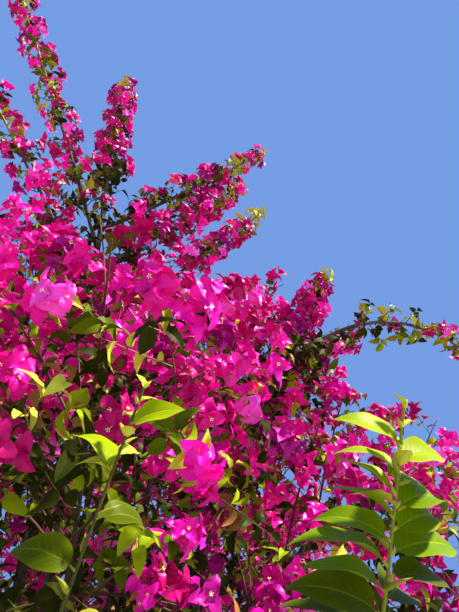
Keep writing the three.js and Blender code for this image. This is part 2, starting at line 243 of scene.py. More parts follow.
class Dice:
    """A small seeded dice, the same as the part's own."""

    def __init__(self, seed: int) -> None:
        """Warms the dice up.

        Args:
            seed: any whole number above 0.
        """
        self.state = seed * DICE_SEED_FACTOR + DICE_SEED_OFFSET
        self.roll()
        self.roll()

    def roll(self) -> float:
        """Returns the next number between 0 and 1."""
        self.state = (self.state * DICE_FACTOR) % DICE_MODULUS
        return self.state / DICE_MODULUS

    def between(self, low: float, high: float) -> float:
        """Returns the next number between low and high."""
        return low + (high - low) * self.roll()


def unit(vectors: Array) -> Array:
    """Returns vectors scaled to length 1 along their last axis."""
    return vectors / np.maximum(np.linalg.norm(vectors, axis=-1, keepdims=True), SMALLEST)


def around(azimuth: float, distance: float, height: float) -> Array:
    """Returns a point from its azimuth in degrees, its distance from the middle and its height."""
    angle = math.radians(azimuth)
    return np.array([distance * math.cos(angle), distance * math.sin(angle), height])


@dataclass
class Arcs:
    """Quadratic arcs, one a row: start, bend and tip are N x 3."""

    start: Array
    bend: Array
    tip: Array

    @classmethod
    def lifted(cls, start: Array, tip: Array, lift: Array | float) -> "Arcs":
        """Returns the arcs whose middle is raised by lift.

        Args:
            start: where each starts, N x 3.
            tip: where each ends, N x 3.
            lift: how far each middle is raised.

        Returns:
            The arcs.
        """
        return cls(start, (start + tip) / 2 + np.atleast_1d(lift)[:, None] * UP, tip)

    def point(self, t: Array | float) -> Array:
        """Returns the points at share t of each arc."""
        t = np.asarray(t, float)[..., None]
        return (1 - t) ** 2 * self.start + 2 * t * (1 - t) * self.bend + t * t * self.tip

    def way(self, t: Array | float) -> Array:
        """Returns the directions at share t of each arc."""
        return unit(self.slope(np.asarray(t, float)[..., None]))

    def frame(self, t: Array | float) -> tuple[Array, Array, Array]:
        """Returns the way and two directions square to it, the first square to the plane of the arc.

        Args:
            t: share of each arc.

        Returns:
            way, side and other, each N x 3.
        """
        way = self.way(t)
        chord = self.tip - self.start
        plane = np.cross(self.bend - self.start, chord)
        level = unit(np.cross(unit(chord), UP))
        flat = np.linalg.norm(plane, axis=-1) <= FLATNESS * np.sum(chord * chord, axis=-1)
        side = np.where(flat[..., None], level, plane)
        side = unit(side - np.sum(side * way, axis=-1, keepdims=True) * way)
        return way, side, np.cross(side, way)

    def samples(self) -> Array:
        """Returns points at even shares of the first arc."""
        return self.point(np.linspace(0, 1, SAMPLE_STEPS + 1)[:, None])[:, 0]

    def pick(self, rows: Array) -> "Arcs":
        """Returns the arcs of the given rows."""
        return Arcs(self.start[rows], self.bend[rows], self.tip[rows])

    def part(self, first: float, last: float) -> "Arcs":
        """Returns the part of each arc between two shares."""
        start, tip = self.point(first), self.point(last)
        return Arcs(start, start + (last - first) * self.slope(first), tip)

    def slope(self, t: Array | float) -> Array:
        """Returns half the rate of each arc at share t."""
        return (1 - t) * (self.bend - self.start) + t * (self.tip - self.bend)


@dataclass
class Limb:
    """One tapering limb along an arc."""

    name: str
    arc: Arcs
    root_radius: float
    tip_radius: float
    points: Array = field(init=False)

    def __post_init__(self) -> None:
        """Works out the points that stand for the limb in nearness tests."""
        self.points = self.arc.samples()

    def radius(self, t: Array | float) -> Array | float:
        """Returns the radius at share t."""
        return self.root_radius + (self.tip_radius - self.root_radius) * t

    def part(self, first: float, last: float) -> "Limb":
        """Returns the part of the limb between two shares."""
        return Limb(self.name, self.arc.part(first, last), self.radius(first), self.radius(last))

    def nearness(self, points: Array) -> Array:
        """Works out how far points lie outside the limb's surface.

        Args:
            points: P x 3.

        Returns:
            P distances, less than 0 inside.
        """
        a, b = self.points[:-1], self.points[1:]
        along = b - a
        offset = points[:, None] - a
        share = np.clip(np.sum(offset * along, -1) / np.sum(along * along, -1), 0, 1)
        distance = np.linalg.norm(offset - share[..., None] * along, axis=-1)
        return np.min(distance - self.radius(np.arange(SAMPLE_STEPS) / SAMPLE_STEPS), axis=1)


@dataclass
class Mass:
    """A mass of foliage along its own stem."""

    name: str
    kind: Kind
    dense: bool
    arc: Arcs
    width: float
    seed: int
    stem: Limb
    bloom: float = 1.0
    wood: float = 1.0
    fullness: float = 1.0
    samples: Array = field(init=False)

    def __post_init__(self) -> None:
        """Works out the points of the middle line."""
        self.samples = self.arc.samples()

    def squares(self, points: Array) -> Array:
        """Returns the square of each point's distance from each sample of the middle line."""
        offset = points[:, None] - self.samples
        return np.einsum("pij,pij->pi", offset, offset)

    def nearness(self, points: Array) -> Array:
        """Returns each point's distance from the middle line, in widths of the mass."""
        return np.sqrt(np.min(self.squares(points), axis=1)) / self.width

    def share(self, points: Array) -> Array:
        """Returns how far along the middle line each point is, from 0 to 1."""
        return np.argmin(self.squares(points), axis=1) / SAMPLE_STEPS


@dataclass
class Skeleton:
    """The limbs and the masses of the bush."""

    limbs: list[Limb] = field(default_factory=list)
    masses: list[Mass] = field(default_factory=list)

    def build(self) -> None:
        """Works out every limb and mass from the named sizes, as the part does."""
        self.build_stems()
        for ring in RINGS:
            self.build_ring(ring)
        for tall in TALL_BOUGHS:
            self.build_tall(tall)
        for whip in WHIPS:
            self.build_whip(whip)

    def limb(self, name: str) -> Limb:
        """Returns the limb of that name."""
        return next(limb for limb in self.limbs if limb.name == name)

    def build_stems(self) -> None:
        """Adds the stems that fan out of the trunk."""
        root = trunk_line().point(STEM.spring)[0]
        dice = Dice(STEM.count)

        def sway() -> float:
            """Returns a size factor close to 1."""
            return dice.between(1 - STEM.sway, 1 + STEM.sway)

        for k in range(STEM.count):
            azimuth = STEM.turn + 360 / STEM.count * (k + sway() - 1)
            bend_out, bend_up = STEM.bend[0] * sway(), STEM.bend[1] * sway()
            end_out, end_up = STEM.end[0] * sway(), STEM.end[1] * sway()
            arc = Arcs(
                root[None],
                around(azimuth, bend_out, bend_up)[None],
                around(azimuth, end_out, end_up)[None],
            )
            self.limbs.append(Limb(f"stem_{k + 1}", arc, STEM.root_radius, STEM.tip_radius))

    def add_bough(self, name: str, parent: Limb, share: float, end: Array, lift: float, radii: Pair) -> Limb:
        """Adds the bough that leaves a limb.

        Args:
            name: the bough's name.
            parent: the limb that carries it.
            share: where on the parent it starts.
            end: where it ends.
            lift: how far its middle is raised.
            radii: at its root and its tip.

        Returns:
            The bough.
        """
        arc = Arcs.lifted(parent.arc.point(share), end[None], lift)
        bough = Limb(name, arc, min(radii[0], parent.radius(share) * BOUGH_ROOT_SHARE), radii[1])
        self.limbs.append(bough)
        return bough

    def add_mass(
        self, name: str, kind: Kind, dense: bool, arc: Arcs, width: float, radii: Pair, **habit: float
    ) -> None:
        """Adds a mass and its stem.

        Args:
            name: the mass's name.
            kind: what it carries.
            dense: whether it is one of the dense masses of the crown.
            arc: its middle line.
            width: how far its space reaches from the middle line.
            radii: of its stem, at the root and the tip.
            habit: how it blossoms, is under bark and is filled, where it is not as usual.
        """
        stem = Limb(f"{name} stem", arc, *radii)
        self.masses.append(Mass(name, kind, dense, arc, width, len(self.masses) + 1, stem, **habit))

    def build_ring(self, ring: Ring) -> None:
        """Adds a ring of dense masses and their boughs.

        Args:
            ring: the sizes of the ring.
        """
        step = 360 / STEM.count
        for k in range(ring.count):
            azimuth = ring.turn + 360 / ring.count * k
            index = math.floor(((azimuth - STEM.turn + 360) % 360) / step + 0.5) % STEM.count
            bough = self.limb(f"stem_{index + 1}")
            if ring.stem_share is not None:
                name = f"{ring.name}_bough_{k + 1}"
                end = around(azimuth, *ring.end)
                bough = self.add_bough(name, bough, ring.stem_share, end, ring.lift, BOUGH_RADII)
            arc = onward_arc(bough.arc, around(azimuth, *ring.tip))
            self.add_mass(f"{ring.name}_mass_{k + 1}", ring.kind, True, arc, ring.width, MASS_RADII)

    def build_tall(self, tall: TallBough) -> None:
        """Adds a tall bough and its canes.

        Args:
            tall: the sizes of the bough and its canes.
        """
        stem = self.limb(f"stem_{tall.stem + 1}")
        end = around(*tall.end)
        bough = self.add_bough(f"{tall.name}_tall_bough", stem, tall.stem_share, end, tall.lift, TALL_RADII)
        for k, cane in enumerate(tall.canes):
            tip = around(*cane.tip)
            if cane.share == 1:
                arc = onward_arc(bough.arc, tip)
            else:
                arc = Arcs.lifted(bough.arc.point(cane.share), tip[None], cane.lift)
            name = f"{tall.name}_cane_{k + 1}"
            habit = {"bloom": cane.bloom, "wood": cane.wood, "fullness": cane.fullness}
            self.add_mass(name, Kind.BLOSSOM, False, arc, cane.width, CANE_RADII, **habit)

    def build_whip(self, whip: WhipSizes) -> None:
        """Adds a young whip.

        Args:
            whip: its sizes.
        """
        bough = self.limb(f"skirt_bough_{whip.bough + 1}")
        start = bough.arc.point(whip.share)
        arc = Arcs(start, around(*whip.bend)[None], around(*whip.tip)[None])
        self.add_mass(f"{whip.name}_whip", Kind.WHIP, False, arc, WHIP_WIDTH, WHIP_RADII)

    def holds(self, mass: Mass, points: Array, reach: float = 1.0, slack: float = 0.0) -> Array:
        """Tests whether points are in a mass's own space and clear of every limb.

        Args:
            mass: the mass that the points are to belong to.
            points: P x 3.
            reach: how far from the middle line the space goes, in widths of the mass.
            slack: how far a point may pass the middle between two masses, in widths.

        Returns:
            P truth values.
        """
        own = mass.nearness(points)
        good = own <= reach
        for other in self.masses:
            if other is not mass and np.any(good):
                rows = np.flatnonzero(good)
                good[rows] = other.nearness(points[rows]) > own[rows] + SPACE_MARGIN - slack
        for limb in self.limbs:
            rows = np.flatnonzero(good)
            if len(rows):
                good[rows] = limb.nearness(points[rows]) > LIMB_CLEARANCE
        return good


def trunk_line() -> Arcs:
    """Works out the trunk's middle line: upright at the foot, leaning at the top.

    Returns:
        The line, one arc.
    """
    foot = np.zeros((1, 3))
    bend = np.array([[0, 0, TRUNK.height * TRUNK.bend_share]])
    return Arcs(foot, bend, np.array([[*TRUNK.lean, TRUNK.height]]))


def onward_arc(arc: Arcs, tip: Array) -> Arcs:
    """Makes the arc that goes on from the end of another and then bends to a point.

    Args:
        arc: the arc that comes before.
        tip: the point where the new one ends.

    Returns:
        The new arc.
    """
    start = arc.tip
    length = np.linalg.norm(tip - start[0])
    return Arcs(start, start + arc.way(1.0) * length / 2, tip[None])


# Twigs, leaves and bracts that grow on from the masses' stems

TWIG_LIFT = 0.1
TWIG_STRAY = 0.04
TWIG_SHORTENING = (1.1, 0.35)
TWIG_REACH = (0.8, 1.0)
BLADE_REACH = (0.9, 1.1)
FURTHER_REACH = (0.7, 1.0)
TWIG_PROBE = 0.6
LAST_TWIG = 0.97


@dataclass(frozen=True)
class Tint:
    """One tint of a finish: the shares of sprays that have it where all blossom and where none does. Sprays
    seldom blossom low down and deep inside, so darker tints weighted to where none does are painted shade,
    and brighter ones weighted to where all do are painted light.
    """

    name: str
    colour: Triple
    share: float
    leafy_share: float


@dataclass(frozen=True)
class Rule:
    """How side shoots leave a shoot: the part's own rule, with the sizes of one order of shoots."""

    count: int
    start: float
    lean: Pair
    reach: Pair
    lift: float = TWIG_LIFT


@dataclass(frozen=True)
class Make:
    """What a kind of mass is made of, from its first twigs to its sprays.

    The first twigs are the part's own, and further ones stand between them. finer are the rules of
    the orders that follow, and radii those of the orders that carry them. Sprays nearer to the
    middle than bare are left off, but for the share inner. hidden is how many leaves of a spray its
    blooms stand in for, and sunlit how far the tints of its bracts are those of full blossom: below 1
    it deals darker bract tints, which are painted shade.
    """

    twigs: int
    start: float
    lean: Pair
    reach: float
    blade: float
    further: int
    finer: tuple[Rule, ...]
    radii: tuple[Pair, ...]
    space: float
    slack: float
    bare: float
    inner: float = 1.0
    leaves: int = 5
    hidden: int = 1
    blooms: int = 4
    scale: float = 1.0
    narrowing: float = 0.0
    sunlit: float = 1.0


@dataclass(frozen=True)
class SpraySizes:
    """Sizes of a spray: its leaves, its blooms and their bracts, in metres, and how they stand.

    The leans, the rise, the light and the strays are lengths beside a direction of length 1. Steps
    and spans are shares of the stalk. bloom_lean and bloom_stem are those of the bloom at the tip
    and of the ones beside it, and cup says how far the three bracts close round their flower.
    """

    leaf: Pair = (0.040, 0.062)
    bract: Pair = (0.025, 0.043)
    stalk: Pair = (0.0013, 0.0007)
    flower_share: float = 0.25
    flower: float = 0.55
    cup: Pair = (0.8, 2.4)
    young_from: Pair = (0.75, 1.0)
    tip_shrinking: float = 0.3
    first_leaf: float = 0.15
    leaf_span: float = 0.8
    leaf_lean: float = 0.45
    leaf_rise: float = 0.1
    leaf_stray: float = 0.15
    leaf_light: float = 0.9
    leaf_turning: float = 0.25
    leaf_by_bloom: float = 0.85
    bloom_step: float = 0.13
    bloom_lean: Pair = (0.35, 1.1)
    bloom_stray: float = 0.2
    bloom_stem: Pair = (0.006, 0.014)
    bracts: int = 3
    level_lean: float = 0.3
    level_offset: float = 0.01
    bract_stray: float = 0.08
    bract_variety: Pair = (0.92, 1.06)


@dataclass(frozen=True)
class WhipRule:
    """How the large leaves stand left and right of a young whip, and the tuft at its tip.

    The leaves stand from share start of the stem to last, closer together by crowding, and shrink by
    taper at the tip. light says how far they turn outward and up. Below share old of their row they
    are dull dark green, so the whip is darker towards its foot, and above young they are lime, each
    give or take spread. Leans, rise, forward and strays are lengths beside a direction of length 1.
    A higher fade keeps a change nearer the tip.
    """

    start: float = 0.45
    crowding: float = 0.72
    length: float = 0.102
    taper: float = 0.28
    stray: float = 0.55
    light: Pair = (0.90, 0.45)
    petiole: float = 0.014
    petiole_radii: Pair = (0.0013, 0.0009)
    bud: Pair = (0.005, 0.012)
    tuft: int = 6
    tuft_lengths: Pair = (0.044, 0.020)
    tuft_buds: int = 2
    old: float = 0.895
    young: float = 0.958
    spread: float = 0.012
    last: float = 0.98
    petiole_lean: float = 0.7
    petiole_shortening: float = 0.6
    petiole_fade: int = 4
    rise_fade: int = 6
    taper_fade: int = 8
    rise: Pair = (0.2, 0.7)
    leaf_stray: float = 0.12
    leaf_turning: float = 0.22
    forward: float = 0.4
    variety: Pair = (0.72, 1.0)
    bud_lean: float = 0.8
    tuft_start: float = 0.955
    tuft_lean: Pair = (0.5, 2.2)
    tuft_bud_lean: Pair = (1.6, -0.8)


@dataclass(frozen=True)
class ThornRule:
    """How thorns stand on canes and tall boughs, or spurs on whips.

    lean is how far they point to the limb's tip, and root_depth where in its radius they start.
    """

    step: float = 0.045
    length: Pair = (0.011, 0.019)
    start: float = 0.1
    lean: float = 0.3
    root_depth: float = 0.7


TWIG_SCALES = (1.0, 0.86, 0.72, 0.58, 0.44, 0.3)
DENSE = Make(
    twigs=10,
    start=0.12,
    lean=(88, 30),
    reach=1.12,
    blade=0.215,
    further=12,
    finer=(
        Rule(6, 0.3, (68, 42), (0.13, 0.24)),
        Rule(4, 0.3, (62, 40), (0.07, 0.13)),
    ),
    radii=((0.0045, 0.0024), (0.0026, 0.0014)),
    space=1.02,
    slack=0.14,
    bare=0.42,
    inner=0.6,
    hidden=2,
    blooms=6,
)
LEAFY = replace(DENSE, further=20, inner=0.9)
CANE = Make(
    twigs=7,
    start=0.14,
    lean=(64, 40),
    reach=0.58,
    blade=0.0,
    further=32,
    finer=(Rule(2, 0.4, (60, 45), (0.016, 0.036)),),
    radii=((0.0022, 0.0012),),
    space=1.0,
    slack=0.3,
    bare=0.0,
    leaves=4,
    blooms=4,
    scale=0.92,
    narrowing=0.6,
    # Below 1: darker bract tints on the canes, painted shade
    sunlit=0.55,
)
SPRAY = SpraySizes()
WHIP_RULE = WhipRule()
THORNS = ThornRule()
SPURS = ThornRule(step=0.030, length=(0.018, 0.034), lean=0.9)
BLOOM_LIMITS = (0.05, 0.95)
BLOOM_DEPTH = (0.34, 0.56)
BLOOM_BY_TWIG = 0.6
CANE_BLOOM = (2.1, 0.05)
CANE_TIP = 0.9
CANE_TIP_FADE = 10
CANE_TIP_LEAVES = 0.6
CANE_GROUPS = 8
BLOOM_LINE = 1.75
BLOOM_BAYS = 0.17
BLOOM_BAY_COUNT = 15
BLOOM_TURN = math.radians(75)
BLOOM_FADE = 0.30
FADE_STEEPNESS = 4
# Bract tints: partly tone that differs at random, partly painted light and shade. Purple and deep stand for
# shaded bracts and go mostly to low, deep sprays; bright and pale go mostly high up and outside
BRACT_TINTS = (
    Tint("purple", (0.36, 0.001, 0.175), 0.09, 0.28),
    Tint("deep", (0.44, 0.001, 0.11), 0.12, 0.24),
    Tint("magenta", (0.70, 0.002, 0.235), 0.34, 0.32),
    Tint("bright", (0.88, 0.006, 0.38), 0.32, 0.09),
    Tint("pale", (0.92, 0.07, 0.56), 0.12, 0.07),
    Tint("rose", (0.84, 0.05, 0.20), 0.010, 0.0),
)
# Leaf tints: partly tone that differs at random, partly painted light and shade. Dark goes mostly to low,
# deep and leafy sprays as painted shade, bright high up and outside as painted light; dry and young are the
# leaves' own colours
LEAF_TINTS = (
    Tint("dark", (0.022, 0.027, 0.002), 0.18, 0.77),
    Tint("middle", (0.085, 0.115, 0.002), 0.34, 0.09),
    Tint("bright", (0.250, 0.310, 0.004), 0.33, 0.02),
    Tint("dry", (0.290, 0.130, 0.035), 0.01, 0.11),
    Tint("young", (0.500, 0.490, 0.040), 0.14, 0.01),
)
YOUNG = len(LEAF_TINTS) - 1
BRIGHT, DULL, PALE, LIME = range(4)
BOUGH_TWIGS = Rule(36, 0.22, (78, 50), (0.10, 0.24))
BOUGH_SPRAYS = Rule(5, 0.3, (65, 40), (0.04, 0.09))
BOUGH_BLOOM = 0.08
BOUGH_LIGHT = 0.35


def deal(tints: Sequence[Tint], share: Array, rng: np.random.Generator) -> Array:
    """Deals out tints by spray, weighted by how likely each is to blossom: this paints shade low down and
    deep inside and light high up and outside.

    Args:
        tints: the tints.
        share: how likely each spray is to blossom.
        rng: the source of chance.

    Returns:
        The row of each spray's tint.
    """
    bloom = np.array([tint.share for tint in tints])
    leafy = np.array([tint.leafy_share for tint in tints])
    steps = np.cumsum(share[:, None] * bloom + (1 - share[:, None]) * leafy, axis=1)
    return np.sum(rng.random(len(share))[:, None] * steps[:, -1:] > steps, axis=1)


def bloom_share(points: Array, mass: Mass) -> Array:
    """Works out how likely sprays are to blossom: seldom low down, deep inside and in leafy bays.

    Args:
        points: where the sprays end.
        mass: the mass that they belong to.

    Returns:
        The likelihood of each.
    """
    low, high = BLOOM_LIMITS
    if mass.kind is Kind.LEAF:
        return np.full(len(points), low)
    if not mass.dense:
        share = mass.share(points)
        rise, foot = CANE_BLOOM
        leafy = np.clip(share * CANE_TIP_FADE - CANE_TIP_FADE * CANE_TIP, 0, CANE_TIP_LEAVES)
        return np.clip(rise * share - foot, low, high) * (1 - leafy)
    azimuth = np.arctan2(points[:, 1], points[:, 0])
    line = BLOOM_LINE + BLOOM_BAYS * np.cos(BLOOM_BAY_COUNT * (azimuth + BLOOM_TURN))
    share = low + (high - low) / (1 + np.exp((line - points[:, 2]) * FADE_STEEPNESS / BLOOM_FADE))
    return share * np.clip(np.interp(mass.nearness(points), BLOOM_DEPTH, (0, 1)), 0, 1)


@dataclass
class Shoots:
    """Shoots of one order: their arcs, and their radii at the root and the tip."""

    arcs: Arcs
    radii: Pair


def joined(parts: Sequence[Arcs]) -> Arcs:
    """Returns the arcs of all parts in one."""
    return Arcs(*(np.concatenate([getattr(part, end) for part in parts]) for end in ("start", "bend", "tip")))


def spoke(side: Array, other: Array, angle: Array) -> Array:
    """Returns the directions at an angle round a frame."""
    return side * np.cos(angle)[..., None] + other * np.sin(angle)[..., None]


def leaning(way: Array, out: Array, lean: Pair, share: Array) -> Array:
    """Works out the ways of side shoots: they lean to the tip more and more, and the last goes straight on.

    Args:
        way: the way of the parent at each side shoot.
        out: the way square to the parent that each side shoot is on.
        lean: the angle to the parent of the first and of the last, in degrees.
        share: each one's place in the row of side shoots, from 0 to 1.

    Returns:
        The ways, N x 3.
    """
    angle = np.radians(lean[0] + (lean[1] - lean[0]) * share)
    mixed = unit(out + way / np.tan(angle)[:, None])
    return np.where((share == 1)[:, None], way, mixed)


def side_arcs(parents: Arcs, rule: Rule, rng: np.random.Generator) -> Arcs:
    """Grows side shoots on every parent by the rule.

    Args:
        parents: the shoots that carry them.
        rule: how many there are, and how they stand and reach.
        rng: the source of chance.

    Returns:
        The side shoots' arcs.
    """
    total = len(parents.start)
    rows = np.repeat(np.arange(total), rule.count)
    order = np.tile(np.arange(rule.count), total)
    share = order / max(rule.count - 1, 1)
    stray = rng.uniform(-TWIG_STRAY, TWIG_STRAY, len(rows))
    t = rule.start + (LAST_TWIG - rule.start) * share + stray
    arcs = parents.pick(rows)
    way, side, other = arcs.frame(t)
    turn = np.repeat(rng.uniform(0, 2 * math.pi, total), rule.count) + order * GOLDEN_ANGLE
    out = leaning(way, spoke(side, other, turn), rule.lean, share)
    longest, shortening = TWIG_SHORTENING
    reach = rng.uniform(*rule.reach, len(rows)) * (longest - shortening * share)
    root = arcs.point(t)
    return Arcs.lifted(root, root + out * reach[:, None], reach * rule.lift)


@dataclass
class Blades:
    """Blades of one form: where each is rooted, which way it goes and faces, its size and its tint."""

    root: Array = field(default_factory=lambda: np.zeros((0, 3)))
    along: Array = field(default_factory=lambda: np.zeros((0, 3)))
    face: Array = field(default_factory=lambda: np.zeros((0, 3)))
    size: Array = field(default_factory=lambda: np.zeros(0))
    tint: Array = field(default_factory=lambda: np.zeros(0, int))

    def add(self, root: Array, along: Array, face: Array, size: Array, tint: Array) -> None:
        """Adds blades, one a row of each array.

        Args:
            root: where each is rooted.
            along: the way it goes.
            face: the way its upper side faces.
            size: its length.
            tint: the row of its tint.
        """
        self.root = np.concatenate([self.root, root])
        self.along = np.concatenate([self.along, unit(along)])
        self.face = np.concatenate([self.face, unit(face)])
        self.size = np.concatenate([self.size, size])
        self.tint = np.concatenate([self.tint, tint])

    def pick(self, rows: Array) -> "Blades":
        """Returns the blades of the given rows."""
        return Blades(self.root[rows], self.along[rows], self.face[rows], self.size[rows], self.tint[rows])


@dataclass
class Growth:
    """Grows every mass into twigs and sprays of blades within its own space."""

    skeleton: Skeleton
    seed: int = 460
    wood: list[Shoots] = field(default_factory=list)
    stalks: list[Shoots] = field(default_factory=list)
    leaves: Blades = field(default_factory=Blades)
    bracts: Blades = field(default_factory=Blades)
    flowers: Blades = field(default_factory=Blades)
    whip_leaves: Blades = field(default_factory=Blades)
    buds: Blades = field(default_factory=Blades)
    petioles: list[Shoots] = field(default_factory=list)
    thorns: Blades = field(default_factory=Blades)
    spurs: Blades = field(default_factory=Blades)

    def build(self) -> None:
        """Grows every mass in turn."""
        for mass in self.skeleton.masses:
            rng = np.random.default_rng(self.seed + mass.seed)
            if mass.kind is Kind.WHIP:
                self.grow_whip(mass, rng)
            elif mass.kind is Kind.LEAF:
                self.grow_mass(mass, LEAFY, rng)
            else:
                self.grow_mass(mass, DENSE if mass.dense else CANE, rng)
        for k, tall in enumerate(TALL_BOUGHS):
            rng = np.random.default_rng(self.seed - k)
            bough = self.skeleton.limb(f"{tall.name}_tall_bough")
            self.grow_bough(bough, rng)
            self.add_thorns(bough, THORNS, self.thorns, rng)

    def first_twigs(self, mass: Mass, make: Make, rng: np.random.Generator) -> Arcs:
        """Grows the first twigs by the part's rule and its dice, and further ones between them.

        Args:
            mass: the mass that they belong to.
            make: what the mass is made of.
            rng: the source of chance for the further twigs.

        Returns:
            The arcs of the twigs, from the stem to where their blades would end.
        """
        dice = Dice(mass.seed)
        turn = math.radians(dice.between(0, 360))
        rows = []
        for i in range(make.twigs):
            reach = mass.width * make.reach * dice.between(*TWIG_REACH)
            dice.roll()
            blade = make.blade * dice.between(*BLADE_REACH)
            dice.roll()
            rows.append((i / (make.twigs - 1), turn + i * GOLDEN_ANGLE, max(reach, blade)))
        further = round(make.further * mass.fullness)
        for i in range(further):
            reach = mass.width * make.reach * rng.uniform(*FURTHER_REACH)
            rows.append(((i + 0.5) / further, turn + (i + 0.5) * GOLDEN_ANGLE + math.pi, reach))
        share, angle, reach = np.array(rows).T
        reach = reach * (1 - make.narrowing * share)
        arcs = mass.arc.pick(np.zeros(len(rows), int))
        t = make.start + (LAST_TWIG - make.start) * share
        way, side, other = arcs.frame(t)
        out = leaning(way, spoke(side, other, angle), make.lean, share)
        return self.fitted(mass, make, arcs.point(t), out, reach)

    def fitted(self, mass: Mass, make: Make, root: Array, out: Array, reach: Array) -> Arcs:
        """Shrinks each twig until its mass's space holds it, and drops those that never fit.

        Args:
            mass: the mass that the twigs belong to.
            make: what the mass is made of.
            root: where each starts.
            out: the way each goes.
            reach: how far each goes at full size.

        Returns:
            The arcs of the twigs that fit.
        """
        found = []
        left = np.arange(len(root))
        for scale in TWIG_SCALES:
            length = reach[left] * scale
            arcs = Arcs.lifted(root[left], root[left] + out[left] * length[:, None], length * TWIG_LIFT)
            held = self.skeleton.holds(mass, arcs.tip, make.space, make.slack)
            held &= self.skeleton.holds(mass, arcs.point(TWIG_PROBE), make.space, make.slack)
            found.append(arcs.pick(held))
            left = left[~held]
        return joined(found)

    def grow_mass(self, mass: Mass, make: Make, rng: np.random.Generator) -> None:
        """Grows a dense mass or a cane: twigs, finer twigs, and sprays at the last.

        Args:
            mass: the mass to grow.
            make: what it is made of.
            rng: the source of chance.
        """
        arcs = self.first_twigs(mass, make, rng)
        luck = rng.random(len(arcs.start))
        if not mass.dense:
            luck = luck[(mass.share(arcs.start) * (CANE_GROUPS - 1)).astype(int)]
            self.add_thorns(mass.stem, THORNS, self.thorns, rng)
        orders = [arcs]
        carriers = []
        for rule in make.finer:
            finer = side_arcs(orders[-1], rule, rng)
            rows = np.flatnonzero(self.skeleton.holds(mass, finer.tip, make.space, make.slack))
            orders.append(finer.pick(rows))
            carriers.append(rows // rule.count)
            luck = np.repeat(luck, rule.count)[rows]
        arcs = orders.pop()
        kept = np.flatnonzero((mass.nearness(arcs.tip) >= make.bare) | (rng.random(len(luck)) < make.inner))
        arcs, luck = arcs.pick(kept), luck[kept]
        for order, carrier, radii in zip(orders[::-1], carriers[::-1], make.radii[::-1]):
            kept = np.unique(carrier[kept])
            self.wood.append(Shoots(order.pick(kept), radii))
        self.stalks.append(Shoots(arcs, SPRAY.stalk))
        share = bloom_share(arcs.tip, mass)
        luck = np.where(rng.random(len(luck)) < BLOOM_BY_TWIG, luck, rng.random(len(luck)))
        along = np.zeros(len(share)) if mass.dense else mass.share(arcs.tip)
        self.add_sprays(arcs, share, luck < share * mass.bloom, along, make, rng)

    def grow_bough(self, limb: Limb, rng: np.random.Generator) -> None:
        """Grows the short leafy twigs of a tall bough.

        Args:
            limb: the bough.
            rng: the source of chance.
        """
        twigs = side_arcs(limb.arc, BOUGH_TWIGS, rng)
        self.wood.append(Shoots(twigs, CANE.radii[0]))
        arcs = side_arcs(twigs, BOUGH_SPRAYS, rng)
        self.stalks.append(Shoots(arcs, SPRAY.stalk))
        count = len(arcs.start)
        blossoms = rng.random(count) < BOUGH_BLOOM
        self.add_sprays(arcs, np.full(count, BOUGH_LIGHT), blossoms, np.zeros(count), CANE, rng)

    def add_thorns(self, limb: Limb, rule: ThornRule, thorns: Blades, rng: np.random.Generator) -> None:
        """Sets thorns on a limb.

        Args:
            limb: the limb.
            rule: how they stand.
            thorns: what they are added to.
            rng: the source of chance.
        """
        span = np.linalg.norm(limb.arc.tip - limb.arc.start)
        count = int(span / rule.step)
        t = np.linspace(rule.start, LAST_TWIG, count)
        arcs = limb.arc.pick(np.zeros(count, int))
        way, side, other = arcs.frame(t)
        out = spoke(side, other, np.arange(count) * GOLDEN_ANGLE)
        root = arcs.point(t) + out * (rule.root_depth * limb.radius(t))[:, None]
        size = rng.uniform(*rule.length, count)
        thorns.add(root, out + rule.lean * way, way, size, np.zeros(count, int))

    def add_sprays(
        self, arcs: Arcs, share: Array, blossoms: Array, along: Array, make: Make, rng: np.random.Generator
    ) -> None:
        """Adds the leaves and blooms of sprays.

        Args:
            arcs: the sprays' stalks.
            share: how likely each was to blossom.
            blossoms: whether each does.
            along: how far along its cane each is, from 0 to 1; 0 in a dense mass.
            make: what the mass is made of.
            rng: the source of chance.
        """
        count = len(arcs.start)
        # Tints follow the likelihood of blossom: painted shade low down and deep inside, painted light high
        # up and outside; sunlit below 1 darkens the bracts as painted shade
        leaf_tint = deal(LEAF_TINTS, share, rng)
        bract_tint = deal(BRACT_TINTS, share * make.sunlit, rng)
        turn = rng.uniform(0, 2 * math.pi, count)
        leaf_tint = np.where(along > rng.uniform(*SPRAY.young_from, count), YOUNG, leaf_tint)
        scale = make.scale * (1 - SPRAY.tip_shrinking * along)
        for i in range(make.leaves):
            t = np.full(count, SPRAY.first_leaf + SPRAY.leaf_span * i / (make.leaves - 1))
            way, side, other = arcs.frame(t)
            out = spoke(side, other, turn + i * GOLDEN_ANGLE)
            stand = out + SPRAY.leaf_lean * way + SPRAY.leaf_rise * UP
            stand = stand + rng.normal(0, SPRAY.leaf_stray, (count, 3))
            face = way + SPRAY.leaf_light * UP + rng.normal(0, SPRAY.leaf_turning, (count, 3))
            size = rng.uniform(*SPRAY.leaf, count) * np.where(blossoms, SPRAY.leaf_by_bloom, 1.0) * scale
            rows = np.flatnonzero(~blossoms | (i < make.leaves - make.hidden))
            self.leaves.add(arcs.point(t)[rows], stand[rows], face[rows], size[rows], leaf_tint[rows])
        rows = np.flatnonzero(blossoms)
        scale = scale[rows]
        for i in range(make.blooms):
            side = turn[rows] + (i + 0.5) * GOLDEN_ANGLE
            self.add_blooms(arcs.pick(rows), side, i, bract_tint[rows], scale, rng)

